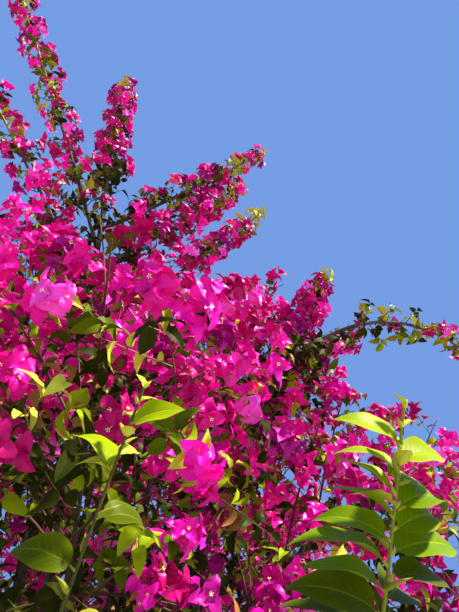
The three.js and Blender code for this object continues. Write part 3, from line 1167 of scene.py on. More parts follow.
    def add_blooms(
        self, arcs: Arcs, turn: Array, index: int, tint: Array, scale: Array, rng: np.random.Generator
    ) -> None:
        """Adds one bloom of three bracts to each spray, and to some of them its open flower.

        Args:
            arcs: the sprays' stalks.
            turn: the side of the stalk that each bloom is on.
            index: which bloom of the spray it is, from the tip.
            tint: the tint of each spray's bracts.
            scale: the size of its bracts, as a factor.
            rng: the source of chance.
        """
        count = len(arcs.start)
        t = np.full(count, 1 - SPRAY.bloom_step * index)
        way, side, other = arcs.frame(t)
        out = spoke(side, other, turn)
        beside = min(index, 1)
        axis = unit(way + SPRAY.bloom_lean[beside] * out + rng.normal(0, SPRAY.bloom_stray, (count, 3)))
        centre = arcs.point(t) + axis * SPRAY.bloom_stem[beside]
        level = unit(np.cross(axis, way + SPRAY.level_lean * out + SPRAY.level_offset))
        cross = np.cross(axis, level)
        spin = rng.uniform(0, 2 * math.pi, count)
        cup = rng.uniform(*SPRAY.cup, count)[:, None]
        size = rng.uniform(*SPRAY.bract, count) * scale
        for k in range(SPRAY.bracts):
            along = spoke(level, cross, spin + k * 2 * math.pi / SPRAY.bracts) + cup * axis
            along += rng.normal(0, SPRAY.bract_stray, (count, 3))
            self.bracts.add(centre, along, axis, size * rng.uniform(*SPRAY.bract_variety, count), tint)
        rows = np.flatnonzero(rng.random(count) < SPRAY.flower_share)
        self.flowers.add(centre[rows], axis[rows], level[rows], size[rows] * SPRAY.flower, tint[rows])

    def grow_whip(self, mass: Mass, rng: np.random.Generator) -> None:
        """Grows a young whip: large leaves left and right of it that face the light, and a tuft at its tip.

        Args:
            mass: the whip.
            rng: the source of chance.
        """
        outward = unit(mass.arc.tip * (1, 1, 0))
        light = unit(WHIP_RULE.light[0] * outward + WHIP_RULE.light[1] * UP)
        self.add_whip_leaves(mass, light, rng)
        self.add_tuft(mass, light)
        self.add_thorns(mass.stem, SPURS, self.spurs, rng)

    def add_whip_leaves(self, mass: Mass, light: Array, rng: np.random.Generator) -> None:
        """Adds the large leaves of a whip on their petioles, with a small bud in each axil.

        Args:
            mass: the whip.
            light: where the light comes from.
            rng: the source of chance.
        """
        rule = WHIP_RULE
        whip = next(whip for whip in WHIPS if mass.name.startswith(whip.name))
        count = whip.leaves
        share = np.linspace(0, 1, count) ** rule.crowding
        t = rule.start + (rule.last - rule.start) * share
        arcs = mass.arc.pick(np.zeros(count, int))
        root, way = arcs.point(t), arcs.way(t)
        side = unit(np.cross(way, light))
        turn = np.arange(count) * math.pi + rng.uniform(-rule.stray, rule.stray, count)
        out = spoke(side, np.cross(side, way), turn)
        petiole = rule.petiole * (1 - rule.petiole_shortening * share**rule.petiole_fade)
        foot = root + unit(out + rule.petiole_lean * way) * petiole[:, None]
        self.petioles.append(Shoots(Arcs.lifted(root, foot, 0.0), rule.petiole_radii))
        rise = rule.rise[0] + rule.rise[1] * share**rule.rise_fade
        along = out + rise[:, None] * way + rng.normal(0, rule.leaf_stray, (count, 3))
        face = rule.forward * way + light + rng.normal(0, rule.leaf_turning, (count, 3))
        size = rule.length * (1 - rule.taper * share**rule.taper_fade) * rng.uniform(*rule.variety, count)
        age = share + rng.normal(0, rule.spread, count)
        # Dull dark green below share old, darker towards the foot, and for the whip's own share of dull
        # leaves, which is painted shade
        tint = np.where((rng.random(count) < whip.dull) | (age < rule.old), DULL, BRIGHT)
        tint = np.where(age > rule.young, LIME, tint)
        tint = np.where(rng.random(count) < whip.pale, PALE, tint)
        self.whip_leaves.add(foot, along, face, size, tint)
        buds = rng.uniform(*rule.bud, count)
        self.buds.add(root, way + rule.bud_lean * out, out, buds, np.zeros(count, int))

    def add_tuft(self, mass: Mass, light: Array) -> None:
        """Adds the tuft of young leaves and buds at the tip of a whip.

        Args:
            mass: the whip.
            light: where the light comes from.
        """
        rule = WHIP_RULE
        count = rule.tuft
        t = np.linspace(rule.tuft_start, 1.0, count)
        arcs = mass.arc.pick(np.zeros(count, int))
        way, side, other = arcs.frame(t)
        out = spoke(side, other, np.arange(count) * GOLDEN_ANGLE)
        along = out + np.linspace(*rule.tuft_lean, count)[:, None] * way
        size = np.linspace(*rule.tuft_lengths, count)
        self.leaves.add(arcs.point(t), along, way + light, size, np.full(count, YOUNG))
        rows = np.arange(count - rule.tuft_buds, count)
        size = np.full(len(rows), rule.bud[1])
        onward, sideways = rule.tuft_bud_lean
        stand = onward * way[rows] + sideways * out[rows]
        self.buds.add(arcs.point(t)[rows], stand, way[rows], size, np.zeros(len(rows), int))


# Templates: leaves, bracts, flowers and thorns of unit length, rooted at the origin, that go along +Y


VEIN_SLANT = 0.35
FINE_PLEAT = 0.6
FINE_PLEAT_COUNT = 9.1
FINE_PLEAT_SLANT = 2.7
FINE_PLEAT_TURN = 3
SHAPE_TWIST = 2.1
DROOP_VARIETY = 0.35
FOLD_SHARES = (0.45, 0.55)
FOLD_NARROWING = 0.6


@dataclass(frozen=True)
class BladeShape:
    """Outline and set of a leaf or a bract, in shares of its length, and how many faces it has.

    foot and point make the outline blunt or slim at its two ends. fold lifts the margins, droop bends
    the tip down, and ruffle is the height of the waves along the margin. There are columns of faces
    on each side of the midrib between stations, and so many shapes. veins is the depth of the
    pleats, curl the twist of the tip, waves the length of the ruffle and vein_count the pleats.
    """

    name: str
    width: float
    foot: float
    point: float
    fold: float
    droop: float
    ruffle: float
    stations: tuple[float, ...]
    columns: int = 1
    shapes: int = 3
    veins: float = 0.0
    curl: float = 0.4
    waves: float = 9.0
    vein_count: float = 3.4

    def half_width(self, s: float) -> float:
        """Works out half the width of the blade.

        Args:
            s: share of the length.

        Returns:
            Half the width there.
        """
        peak = self.foot / (self.foot + self.point)
        full = peak**self.foot * (1 - peak) ** self.point
        return self.width / 2 * s**self.foot * (1 - s) ** self.point / full

    def position(self, s: float, across: float, twist: float) -> Triple:
        """Returns the place of a point of the blade.

        Args:
            s: share of the length.
            across: share of the half width, from -1 to 1.
            twist: where in its wave the margin is, which differs from shape to shape.

        Returns:
            x, y and z, in lengths of the blade.
        """
        half = self.half_width(s)
        side = abs(across)
        wave = self.ruffle * math.sin(self.waves * s + twist + across) * side * side * math.sin(math.pi * s)
        pleat = math.cos(self.vein_count * 2 * math.pi * (s - VEIN_SLANT * side))
        fine = self.vein_count * FINE_PLEAT_COUNT * s + FINE_PLEAT_SLANT * across + FINE_PLEAT_TURN * twist
        pleat += FINE_PLEAT * math.sin(fine)
        wave += half * side * self.veins * pleat
        wave += half * across * self.curl * s * math.sin(twist)
        angle = self.droop * (1 + DROOP_VARIETY * math.sin(twist)) * s
        flat, bent = FOLD_SHARES
        z = self.fold * half * (flat * side + bent * side * side) + wave - s * math.sin(angle)
        return half * across * math.cos(self.fold * FOLD_NARROWING), s * math.cos(angle), z

    def mesh(self, index: int) -> bpy.types.Mesh:
        """Builds one shape of the blade, with its length along V and its width along U of the UV map.

        Args:
            index: which of the shapes.

        Returns:
            The mesh.
        """
        twist = index * SHAPE_TWIST
        inner = self.stations[1:-1]
        span = range(-self.columns, self.columns + 1)
        places = [(0.0, 0.0)]
        places += [(s, c / self.columns) for s in inner for c in span]
        places.append((1.0, 0.0))
        last = len(places) - 1
        width = len(span)
        faces = [(0, 1 + c + 1, 1 + c) for c in range(width - 1)]
        for row in range(len(inner) - 1):
            for c in range(width - 1):
                a = 1 + row * width + c
                faces.append((a, a + 1, a + width + 1, a + width))
        base = 1 + (len(inner) - 1) * width
        faces += [(base + c, base + c + 1, last) for c in range(width - 1)]
        mesh = bpy.data.meshes.new(f"{self.name}_{index + 1}")
        mesh.from_pydata([self.position(s, across, twist) for s, across in places], [], faces)
        middle = {i for i, (_, across) in enumerate(places) if across == 0}
        layer = mesh.uv_layers.new(name="UVMap")
        for loop in mesh.loops:
            s, across = places[loop.vertex_index]
            layer.data[loop.index].uv = (0.5 + 0.5 * across, s)
        mesh.shade_smooth()
        for edge in mesh.edges:
            edge.use_edge_sharp = set(edge.vertices) <= middle
        return mesh

    def faces(self) -> int:
        """Returns how many triangles one blade has."""
        return 4 * self.columns * (len(self.stations) - 2)


@dataclass(frozen=True)
class Level:
    """The blade that stands within a distance of where one looks from."""

    label: str
    reach: float
    shape: BladeShape


COARSE = (0.0, 0.28, 0.64, 1.0)
MIDDLE = (0.0, 0.10, 0.30, 0.54, 0.78, 1.0)
FINE = (0.0, 0.05, 0.13, 0.23, 0.33, 0.43, 0.53, 0.63, 0.73, 0.83, 0.92, 1.0)
BRACT_LEVELS = (
    Level(
        "_near", 0.95,
        BladeShape("near_bract", 0.76, 0.5, 0.70, 0.45, 0.85, 0.10, FINE, 3, 6, 0.16, curl=0.5, waves=13),
    ),
    Level(
        "_mid", 1.35,
        BladeShape("mid_bract", 0.75, 0.5, 0.72, 0.5, 0.8, 0.09, MIDDLE, 2, 5, 0.14, curl=0.5, waves=11),
    ),
    Level("", math.inf, BladeShape("bract", 0.74, 0.53, 0.80, 0.5, 0.7, 0.05, COARSE, 1, 4)),
)
LEAF_LEVELS = (
    Level(
        "_near", 1.1,
        BladeShape("near_leaf", 0.52, 0.6, 1.0, 0.5, 0.65, 0.04, FINE, 2, 4, 0.09, curl=0.7),
    ),
    Level("", math.inf, BladeShape("leaf", 0.54, 0.6, 1.0, 0.45, 0.6, 0.0, COARSE)),
)
WHIP_LEAF_LEVELS = (
    Level("", math.inf, BladeShape("whip_leaf", 0.54, 0.52, 0.95, 0.28, 0.65, 0.035, FINE, 3, 4)),
)


@dataclass(frozen=True)
class FlowerShape:
    """The small flower in the middle of three bracts: a slim tube that opens as a star."""

    tube: float = 0.06
    throat: float = 0.05
    star: float = 0.2
    lobes: int = 5
    sides: int = 3
    throat_at: float = 0.94
    middle_at: float = 0.9
    lobe_turn: float = 0.22

    def mesh(self) -> bpy.types.Mesh:
        """Builds the flower along +Y.

        Returns:
            The mesh.
        """
        points = []
        for y, radius in ((0.0, self.tube), (self.throat_at, self.throat)):
            for k in range(self.sides):
                angle = 2 * math.pi * k / self.sides
                points.append((radius * math.cos(angle), y, radius * math.sin(angle)))
        faces = []
        for k in range(self.sides):
            a, b = k, (k + 1) % self.sides
            faces.append((b, a, a + self.sides, b + self.sides))
        middle = len(points)
        points.append((0.0, self.middle_at, 0.0))
        for k in range(self.lobes):
            for turn in (-self.lobe_turn, self.lobe_turn):
                angle = 2 * math.pi * (k + turn) / self.lobes
                points.append((self.star * math.cos(angle), 1.0, self.star * math.sin(angle)))
            faces.append((middle, len(points) - 1, len(points) - 2))
        mesh = bpy.data.meshes.new("flower_1")
        mesh.from_pydata(points, [], faces)
        mesh.shade_smooth()
        return mesh


@dataclass(frozen=True)
class SpindleShape:
    """A pointed, slightly bent spindle: a thorn or a bud."""

    name: str
    radius: float
    widest: float
    bend: float
    sides: int = 4
    root_share: float = 0.75
    shoulder_share: float = 0.6

    def mesh(self) -> bpy.types.Mesh:
        """Builds the spindle along +Y.

        Returns:
            The mesh.
        """
        shoulder = (1 + self.widest) / 2
        rings = ((0.0, self.root_share), (self.widest, 1.0), (shoulder, self.shoulder_share))
        points = []
        for y, share in rings:
            for k in range(self.sides):
                angle = 2 * math.pi * k / self.sides
                out = self.radius * share
                points.append((out * math.cos(angle), y, out * math.sin(angle) - self.bend * y * y))
        points.append((0.0, 1.0, -self.bend))
        faces = []
        for ring in range(len(rings) - 1):
            for k in range(self.sides):
                a, b = ring * self.sides + k, ring * self.sides + (k + 1) % self.sides
                faces.append((b, a, a + self.sides, b + self.sides))
        top = (len(rings) - 1) * self.sides
        faces += [(top + (k + 1) % self.sides, top + k, top + self.sides) for k in range(self.sides)]
        mesh = bpy.data.meshes.new(f"{self.name}_1")
        mesh.from_pydata(points, [], faces)
        mesh.shade_smooth()
        return mesh


FLOWER_SHAPE = FlowerShape()
THORN_SHAPE = SpindleShape("thorn", 0.12, 0.2, 0.2)
BUD_SHAPE = SpindleShape("bud", 0.22, 0.4, 0.1, 6)


# Geometry Nodes: blades scattered on points, and twigs swept along arcs

BLADE_ROLL = 0.2
BLADE_SHAPES = 3
BLADE_SEED = 7
TWIG_SIDES = 3


@dataclass
class Nodes:
    """A small helper that adds nodes to one tree."""

    group: bpy.types.NodeTree

    def fill(self, node: bpy.types.Node, values: dict[str | int, object]) -> None:
        """Sets or links inputs of a node.

        Args:
            node: the node.
            values: for inputs by name or place, a value or the output that it comes from.
        """
        for name, value in values.items():
            if isinstance(value, bpy.types.NodeSocket):
                self.group.links.new(value, node.inputs[name])
            else:
                node.inputs[name].default_value = value

    def add(self, kind: str, values: dict[str | int, object], **settings: object) -> bpy.types.Node:
        """Adds a node.

        Args:
            kind: the node's type.
            values: what its inputs are filled with.
            settings: its properties by name.

        Returns:
            The node.
        """
        made = self.group.nodes.new(kind)
        for name, value in settings.items():
            setattr(made, name, value)
        self.fill(made, values)
        return made

    def math(self, operation: str, first: object, second: object = 0.0) -> bpy.types.NodeSocket:
        """Adds a Math node.

        Args:
            operation: what it does.
            first: a socket or a number.
            second: a socket or a number.

        Returns:
            Its output.
        """
        return self.add("ShaderNodeMath", {0: first, 1: second}, operation=operation).outputs[0]


class Tree(Nodes):
    """A Geometry Nodes tree with named inputs."""

    def __init__(self, name: str) -> None:
        """Makes the empty tree with its mesh input and output.

        Args:
            name: the tree's name.
        """
        super().__init__(bpy.data.node_groups.new(name, "GeometryNodeTree"))
        self.sockets: dict[str, str] = {}
        self.socket("Geometry", "NodeSocketGeometry")
        self.group.interface.new_socket("Geometry", in_out="OUTPUT", socket_type="NodeSocketGeometry")
        self.entry = self.add("NodeGroupInput", {})
        self.exit = self.add("NodeGroupOutput", {})

    def socket(self, name: str, kind: str, default: float | int | None = None) -> None:
        """Adds a named input.

        Args:
            name: what it is called.
            kind: the socket's type.
            default: its value unless the modifier sets one.
        """
        made = self.group.interface.new_socket(name, in_out="INPUT", socket_type=kind)
        if default is not None:
            made.default_value = default
        self.sockets[name] = made.identifier

    def attribute(self, name: str, kind: str) -> bpy.types.NodeSocket:
        """Adds a node that reads an attribute of the points, and returns its output."""
        made = self.add("GeometryNodeInputNamedAttribute", {"Name": name}, data_type=kind)
        return made.outputs["Attribute"]

    def finish(self, made: bpy.types.NodeSocket) -> None:
        """Ends the tree: instances made real, and the finish set.

        Args:
            made: the output that holds what the tree made.
        """
        real = self.add("GeometryNodeRealizeInstances", {"Geometry": made})
        look = {"Geometry": real.outputs["Geometry"], "Material": self.entry.outputs["Finish"]}
        dressed = self.add("GeometryNodeSetMaterial", look)
        self.fill(self.exit, {"Geometry": dressed.outputs["Geometry"]})


def scatter_tree() -> Tree:
    """Builds the tree that sets a blade on every point, turned and sized by the point's attributes.

    Returns:
        The tree.
    """
    tree = Tree("Blades on sprays")
    tree.socket("Blades", "NodeSocketCollection")
    tree.socket("Finish", "NodeSocketMaterial")
    tree.socket("Size", "NodeSocketFloat", 1.0)
    tree.socket("Roll", "NodeSocketFloat", BLADE_ROLL)
    tree.socket("Shapes", "NodeSocketInt", BLADE_SHAPES)
    tree.socket("Seed", "NodeSocketInt", BLADE_SEED)
    given = tree.entry.outputs
    ways = {
        "Primary Axis": tree.attribute("along", "FLOAT_VECTOR"),
        "Secondary Axis": tree.attribute("face", "FLOAT_VECTOR"),
    }
    axes = tree.add("FunctionNodeAxesToRotation", ways, primary_axis="Y", secondary_axis="Z")
    spread = {2: tree.math("MULTIPLY", given["Roll"], -1.0), 3: given["Roll"], "Seed": given["Seed"]}
    roll = tree.add("FunctionNodeRandomValue", spread, data_type="FLOAT")
    spin = tree.add("FunctionNodeAxisAngleToRotation", {"Axis": (0.0, 1.0, 0.0), "Angle": roll.outputs[1]})
    turns = {"Rotation": axes.outputs["Rotation"], "Rotate By": spin.outputs["Rotation"]}
    turned = tree.add("FunctionNodeRotateRotation", turns, rotation_space="LOCAL")
    choice = {4: 0, 5: tree.math("SUBTRACT", given["Shapes"], 1.0), "Seed": given["Seed"]}
    shape = tree.add("FunctionNodeRandomValue", choice, data_type="INT")
    source = {"Separate Children": True, "Reset Children": True, "Collection": given["Blades"]}
    blades = tree.add("GeometryNodeCollectionInfo", source)
    setting = {
        "Points": given["Geometry"],
        "Instance": blades.outputs["Instances"],
        "Pick Instance": True,
        "Instance Index": shape.outputs[2],
        "Rotation": turned.outputs["Rotation"],
        "Scale": tree.math("MULTIPLY", tree.attribute("size", "FLOAT"), given["Size"]),
    }
    tree.finish(tree.add("GeometryNodeInstanceOnPoints", setting).outputs["Instances"])
    return tree


def sweep_tree() -> Tree:
    """Builds the tree that sweeps a tapering tube along every line of edges.

    Returns:
        The tree.
    """
    tree = Tree("Twigs along arcs")
    tree.socket("Finish", "NodeSocketMaterial")
    tree.socket("Sides", "NodeSocketInt", TWIG_SIDES)
    tree.socket("Thickness", "NodeSocketFloat", 1.0)
    given = tree.entry.outputs
    lines = tree.add("GeometryNodeMeshToCurve", {"Mesh": given["Geometry"]})
    ring = tree.add("GeometryNodeCurvePrimitiveCircle", {"Radius": 1.0, "Resolution": given["Sides"]})
    sweep = {
        "Curve": lines.outputs["Curve"],
        "Profile Curve": ring.outputs["Curve"],
        "Scale": tree.math("MULTIPLY", tree.attribute("thick", "FLOAT"), given["Thickness"]),
        "Fill Caps": True,
    }
    tree.finish(tree.add("GeometryNodeCurveToMesh", sweep).outputs["Mesh"])
    return tree


# Making pieces


def template_collection(meshes: Sequence[bpy.types.Mesh]) -> bpy.types.Collection:
    """Puts each mesh in an object of a new collection, for the blades to be picked from.

    Args:
        meshes: the shapes of one blade.

    Returns:
        The collection.
    """
    collection = bpy.data.collections.new(f"{meshes[0].name} shapes")
    bpy.context.scene.collection.children.link(collection)
    for mesh in meshes:
        collection.objects.link(bpy.data.objects.new(mesh.name, mesh))
    return collection


def drop_collection(collection: bpy.types.Collection) -> None:
    """Removes a collection with its objects and their meshes.

    Args:
        collection: the collection, no longer used.
    """
    for obj in list(collection.objects):
        mesh = obj.data
        bpy.data.objects.remove(obj)
        bpy.data.meshes.remove(mesh)
    bpy.data.collections.remove(collection)


def grown_mesh(source: bpy.types.Mesh, tree: Tree, values: dict[str, object], name: str) -> bpy.types.Object:
    """Runs a tree on a mesh and keeps the result as a plain mesh of its own.

    Args:
        source: the points or lines that the tree works on; it is used up.
        tree: the Geometry Nodes tree.
        values: what its named inputs are set to.
        name: the name of the piece.

    Returns:
        The piece, with no modifier left.
    """
    piece = bpy.data.objects.new(name, source)
    bpy.context.scene.collection.objects.link(piece)
    modifier = piece.modifiers.new(tree.group.name, "NODES")
    modifier.node_group = tree.group
    for socket, value in values.items():
        modifier[tree.sockets[socket]] = value
    graph = bpy.context.evaluated_depsgraph_get()
    mesh = bpy.data.meshes.new_from_object(piece.evaluated_get(graph), depsgraph=graph)
    piece.modifiers.clear()
    piece.data = mesh
    bpy.data.meshes.remove(source)
    mesh.name = name
    for helper in ("along", "face", "size", "thick"):
        if helper in mesh.attributes:
            mesh.attributes.remove(mesh.attributes[helper])
    return piece


def point_mesh(blades: Blades) -> bpy.types.Mesh:
    """Makes the blades' roots into points that carry their way, facing and size.

    Args:
        blades: the blades.

    Returns:
        The points.
    """
    mesh = bpy.data.meshes.new("roots")
    mesh.vertices.add(len(blades.root))
    mesh.vertices.foreach_set("co", blades.root.ravel())
    for name, values in (("along", blades.along), ("face", blades.face)):
        layer = mesh.attributes.new(name, "FLOAT_VECTOR", "POINT")
        layer.data.foreach_set("vector", values.ravel())
    mesh.attributes.new("size", "FLOAT", "POINT").data.foreach_set("value", blades.size)
    return mesh


def line_mesh(shoots: Sequence[Shoots], steps: int) -> bpy.types.Mesh:
    """Makes the shoots into lines of edges that carry their radius.

    Args:
        shoots: the shoots, by order.
        steps: how many edges each has.

    Returns:
        The lines.
    """
    share = np.linspace(0, 1, steps + 1)
    points = []
    thick = []
    for order in shoots:
        count = len(order.arcs.start)
        line = np.stack([order.arcs.point(t) for t in share], axis=1)
        points.append(line.reshape(-1, 3))
        thick.append(np.tile(order.radii[0] + (order.radii[1] - order.radii[0]) * share, count))
    co = np.concatenate(points)
    first = np.arange(len(co)).reshape(-1, steps + 1)[:, :-1].ravel()
    mesh = bpy.data.meshes.new("lines")
    mesh.vertices.add(len(co))
    mesh.vertices.foreach_set("co", co.ravel())
    mesh.edges.add(len(first))
    mesh.edges.foreach_set("vertices", np.stack([first, first + 1], axis=1).ravel())
    mesh.attributes.new("thick", "FLOAT", "POINT").data.foreach_set("value", np.concatenate(thick))
    return mesh


def dress(piece: bpy.types.Object, nodes: Sequence[str]) -> None:
    """Hands a finished piece to the frame.

    Args:
        piece: the piece.
        nodes: the CAD nodes that it replaces.
    """
    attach(piece, "root")
    if nodes:
        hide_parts(*nodes)
    LOG.info("%s: %d faces", piece.name, len(piece.data.polygons))


# Finishes


class Shader(Nodes):
    """The nodes of one material, with its Principled shader."""

    def __init__(self, name: str) -> None:
        """Makes a new material.

        Args:
            name: its name.
        """
        self.material = bpy.data.materials.new(name)
        self.material.use_nodes = True
        super().__init__(self.material.node_tree)

    def surface(self, values: dict[str | int, object]) -> bpy.types.Material:
        """Fills inputs of the Principled shader, and returns the material."""
        self.fill(self.group.nodes["Principled BSDF"], values)
        return self.material

    def normal(
        self, height: bpy.types.NodeSocket, strength: float, depth: float, invert: bool
    ) -> bpy.types.NodeSocket:
        """Adds a Bump node.

        Args:
            height: the output that holds the relief.
            strength: how strong it is.
            depth: how deep it is, in metres.
            invert: whether it goes in where height is great.

        Returns:
            Its output.
        """
        values = {"Strength": strength, "Distance": depth, "Height": height}
        return self.add("ShaderNodeBump", values, invert=invert).outputs["Normal"]


@dataclass(frozen=True)
class BladeFinish:
    """A thin blade: a plain colour, a soft tinted gloss, and a faint painted glow of its own colour that
    stands in for light that it lets through.
    """

    name: str
    colour: Triple
    roughness: float = 0.5
    gloss: float = 0.3
    glow: float = 0.0
    gloss_tint: Triple = (1.0, 1.0, 1.0)

    def material(self) -> bpy.types.Material:
        """Builds the material.

        Returns:
            The material.
        """
        return Shader(self.name).surface(
            {
                "Base Color": (*self.colour, 1),
                "Roughness": self.roughness,
                "Specular IOR Level": self.gloss,
                "Specular Tint": (*self.gloss_tint, 1),
                # Painted glow: the blade's own colour given off as light, standing in for light let through
                # the blade
                "Emission Color": (*self.colour, 1),
                "Emission Strength": self.glow,
            }
        )


@dataclass(frozen=True)
class BarkFinish:
    """Weathered bark: dark brown, greyer in patches, with pale pores and fine cracks."""

    dark: Triple = (0.030, 0.017, 0.011)
    light: Triple = (0.125, 0.085, 0.058)
    pore: Triple = (0.230, 0.180, 0.130)
    patch_scale: float = 26.0
    crack_scale: float = 170.0
    pore_scale: float = 240.0
    roughness: float = 0.82
    patch_detail: float = 6
    patch_roughness: float = 0.65
    patch_span: Pair = (0.36, 0.66)
    pore_span: Pair = (0.12, 0.22)
    pore_strength: float = 0.6
    crack_detail: float = 4
    bump_strength: float = 0.5
    bump_depth: float = 0.002

    def material(self) -> bpy.types.Material:
        """Builds the material on Object coordinates.

        Returns:
            The material.
        """
        bark = Shader("bark")
        place = bark.add("ShaderNodeTexCoord", {}).outputs["Object"]
        noise = {"Scale": self.patch_scale, "Detail": self.patch_detail, "Roughness": self.patch_roughness}
        patches = bark.add("ShaderNodeTexNoise", {**noise, "Vector": place})
        tone = bark.add("ShaderNodeValToRGB", {"Fac": patches.outputs["Fac"]})
        tints = (self.dark, self.light)
        for element, position, tint in zip(tone.color_ramp.elements, self.patch_span, tints):
            element.position = position
            element.color = (*tint, 1)
        pores = bark.add("ShaderNodeTexVoronoi", {"Scale": self.pore_scale, "Vector": place})
        span = {"From Min": self.pore_span[0], "From Max": self.pore_span[1]}
        span |= {"To Min": self.pore_strength, "To Max": 0.0, "Value": pores.outputs["Distance"]}
        spots = bark.add("ShaderNodeMapRange", span)
        layers = {"B": (*self.pore, 1), "Factor": spots.outputs["Result"], "A": tone.outputs["Color"]}
        blend = bark.add("ShaderNodeMix", layers, data_type="RGBA")
        noise = {"Scale": self.crack_scale, "Detail": self.crack_detail, "Vector": place}
        cracks = bark.add("ShaderNodeTexNoise", noise).outputs["Fac"]
        normal = bark.normal(cracks, self.bump_strength, self.bump_depth, False)
        colour = blend.outputs["Result"]
        return bark.surface({"Base Color": colour, "Normal": normal, "Roughness": self.roughness})


@dataclass(frozen=True)
class VeinedLeafFinish:
    """A large young leaf: green, paler along the midrib and the side veins, yellower at the margin."""

    name: str
    blade: Triple
    margin: Triple
    vein: Triple
    veins: float = 9.0
    slant: float = 0.55
    roughness: float = 0.42
    gloss: float = 0.06
    glow: float = 0.15
    midrib_sharpness: float = 11.0
    vein_sharpness: float = 14.0
    vein_strength: float = 0.55
    margin_sharpness: float = 3.0
    bump_strength: float = 0.4
    bump_depth: float = 0.001

    def material(self) -> bpy.types.Material:
        """Builds the material on the leaf's own UV map.

        Returns:
            The material.
        """
        leaf = Shader(f"whip_leaf_{self.name}")
        place = leaf.add("ShaderNodeTexCoord", {}).outputs["UV"]
        parts = leaf.add("ShaderNodeSeparateXYZ", {"Vector": place}).outputs
        across = leaf.math("ABSOLUTE", leaf.math("SUBTRACT", parts["X"], 0.5))
        across = leaf.math("MULTIPLY", across, 2.0)
        midrib = leaf.math("SUBTRACT", 1.0, leaf.math("MULTIPLY", across, self.midrib_sharpness))
        midrib = leaf.math("MAXIMUM", midrib, 0.0)
        slanted = leaf.math("SUBTRACT", parts["Y"], leaf.math("MULTIPLY", across, self.slant / 2))
        wave = leaf.math("SINE", leaf.math("MULTIPLY", slanted, self.veins * 2 * math.pi))
        lines = leaf.math("POWER", leaf.math("MAXIMUM", wave, 0.0), self.vein_sharpness)
        lines = leaf.math("MULTIPLY", lines, leaf.math("SUBTRACT", 1.0, across))
        veins = leaf.math("MAXIMUM", midrib, leaf.math("MULTIPLY", lines, self.vein_strength))
        margin = leaf.math("POWER", across, self.margin_sharpness)
        layers = {"A": (*self.blade, 1), "B": (*self.margin, 1), "Factor": margin}
        edge = leaf.add("ShaderNodeMix", layers, data_type="RGBA")
        layers = {"B": (*self.vein, 1), "Factor": veins, "A": edge.outputs["Result"]}
        colour = leaf.add("ShaderNodeMix", layers, data_type="RGBA")
        return leaf.surface(
            {
                "Base Color": colour.outputs["Result"],
                "Normal": leaf.normal(veins, self.bump_strength, self.bump_depth, True),
                "Roughness": self.roughness,
                "Specular IOR Level": self.gloss,
                "Specular Tint": (*LEAF_GLOSS, 1),
                # Painted glow: the leaf's own colour given off as light, standing in for light let through
                # the leaf
                "Emission Color": (*self.blade, 1),
                "Emission Strength": self.glow,
            }
        )


LEAF_GLOSS = (1.0, 0.95, 0.35)
BRACT_GLOSS = (1.0, 0.45, 0.85)
# The glow of each finish is a painted glow that stands in for light let through the blade
LEAF_FINISH = BladeFinish("leaf", LEAF_TINTS[0].colour, 0.45, 0.07, 0.06, LEAF_GLOSS)
BRACT_FINISH = BladeFinish("bract", BRACT_TINTS[0].colour, 0.40, 0.30, 0.07, BRACT_GLOSS)
TWIG_FINISH = BladeFinish("twig", (0.110, 0.055, 0.022), 0.75)
STALK_FINISH = BladeFinish("stalk", (0.17, 0.16, 0.03), 0.6)
FLOWER_FINISH = BladeFinish("flower", (0.82, 0.70, 0.30), glow=0.08)
THORN_FINISH = BladeFinish("thorn", (0.20, 0.13, 0.05))
YOUNG_STEM = BladeFinish("young_stem", (0.19, 0.22, 0.015), glow=0.05, gloss_tint=LEAF_GLOSS)
SHADED_STEM = BladeFinish("shaded_stem", (0.055, 0.060, 0.010), gloss_tint=LEAF_GLOSS)
BUD_FINISH = BladeFinish("bud", (0.38, 0.37, 0.04), 0.5, 0.10, 0.08, LEAF_GLOSS)
SPUR_FINISH = BladeFinish("spur", (0.26, 0.26, 0.02), 0.5, 0.10, 0.05, LEAF_GLOSS)
# The dull whip finish is partly the darker colour of the lower leaves and partly painted shade
WHIP_FINISHES = (
    VeinedLeafFinish("bright", (0.105, 0.175, 0.001), (0.170, 0.240, 0.001), (0.240, 0.290, 0.010)),
    VeinedLeafFinish("dull", (0.052, 0.074, 0.001), (0.085, 0.110, 0.001), (0.130, 0.155, 0.008)),
    VeinedLeafFinish("pale", (0.400, 0.370, 0.030), (0.450, 0.410, 0.040), (0.520, 0.470, 0.100)),
    VeinedLeafFinish("lime", (0.210, 0.280, 0.001), (0.290, 0.340, 0.001), (0.360, 0.400, 0.015)),
)


# The wood


@dataclass
class Parts:
    """Points and faces of the parts of one mesh."""

    points: list[Array] = field(default_factory=list)
    faces: list[tuple[int, ...]] = field(default_factory=list)
    count: int = 0

    def add(self, points: Array, faces: Sequence[tuple[int, ...]]) -> None:
        """Adds a part.

        Args:
            points: its points.
            faces: its faces, numbered from its own first point.
        """
        self.faces += [tuple(i + self.count for i in face) for face in faces]
        self.points.append(points)
        self.count += len(points)

    def piece(self, name: str, material: bpy.types.Material) -> bpy.types.Object:
        """Makes all parts one smooth piece.

        Args:
            name: the piece's name.
            material: its finish.

        Returns:
            The piece.
        """
        mesh = bpy.data.meshes.new(name)
        mesh.from_pydata(np.concatenate(self.points), [], self.faces)
        mesh.shade_smooth()
        mesh.materials.append(material)
        piece = bpy.data.objects.new(name, mesh)
        bpy.context.scene.collection.objects.link(piece)
        return piece


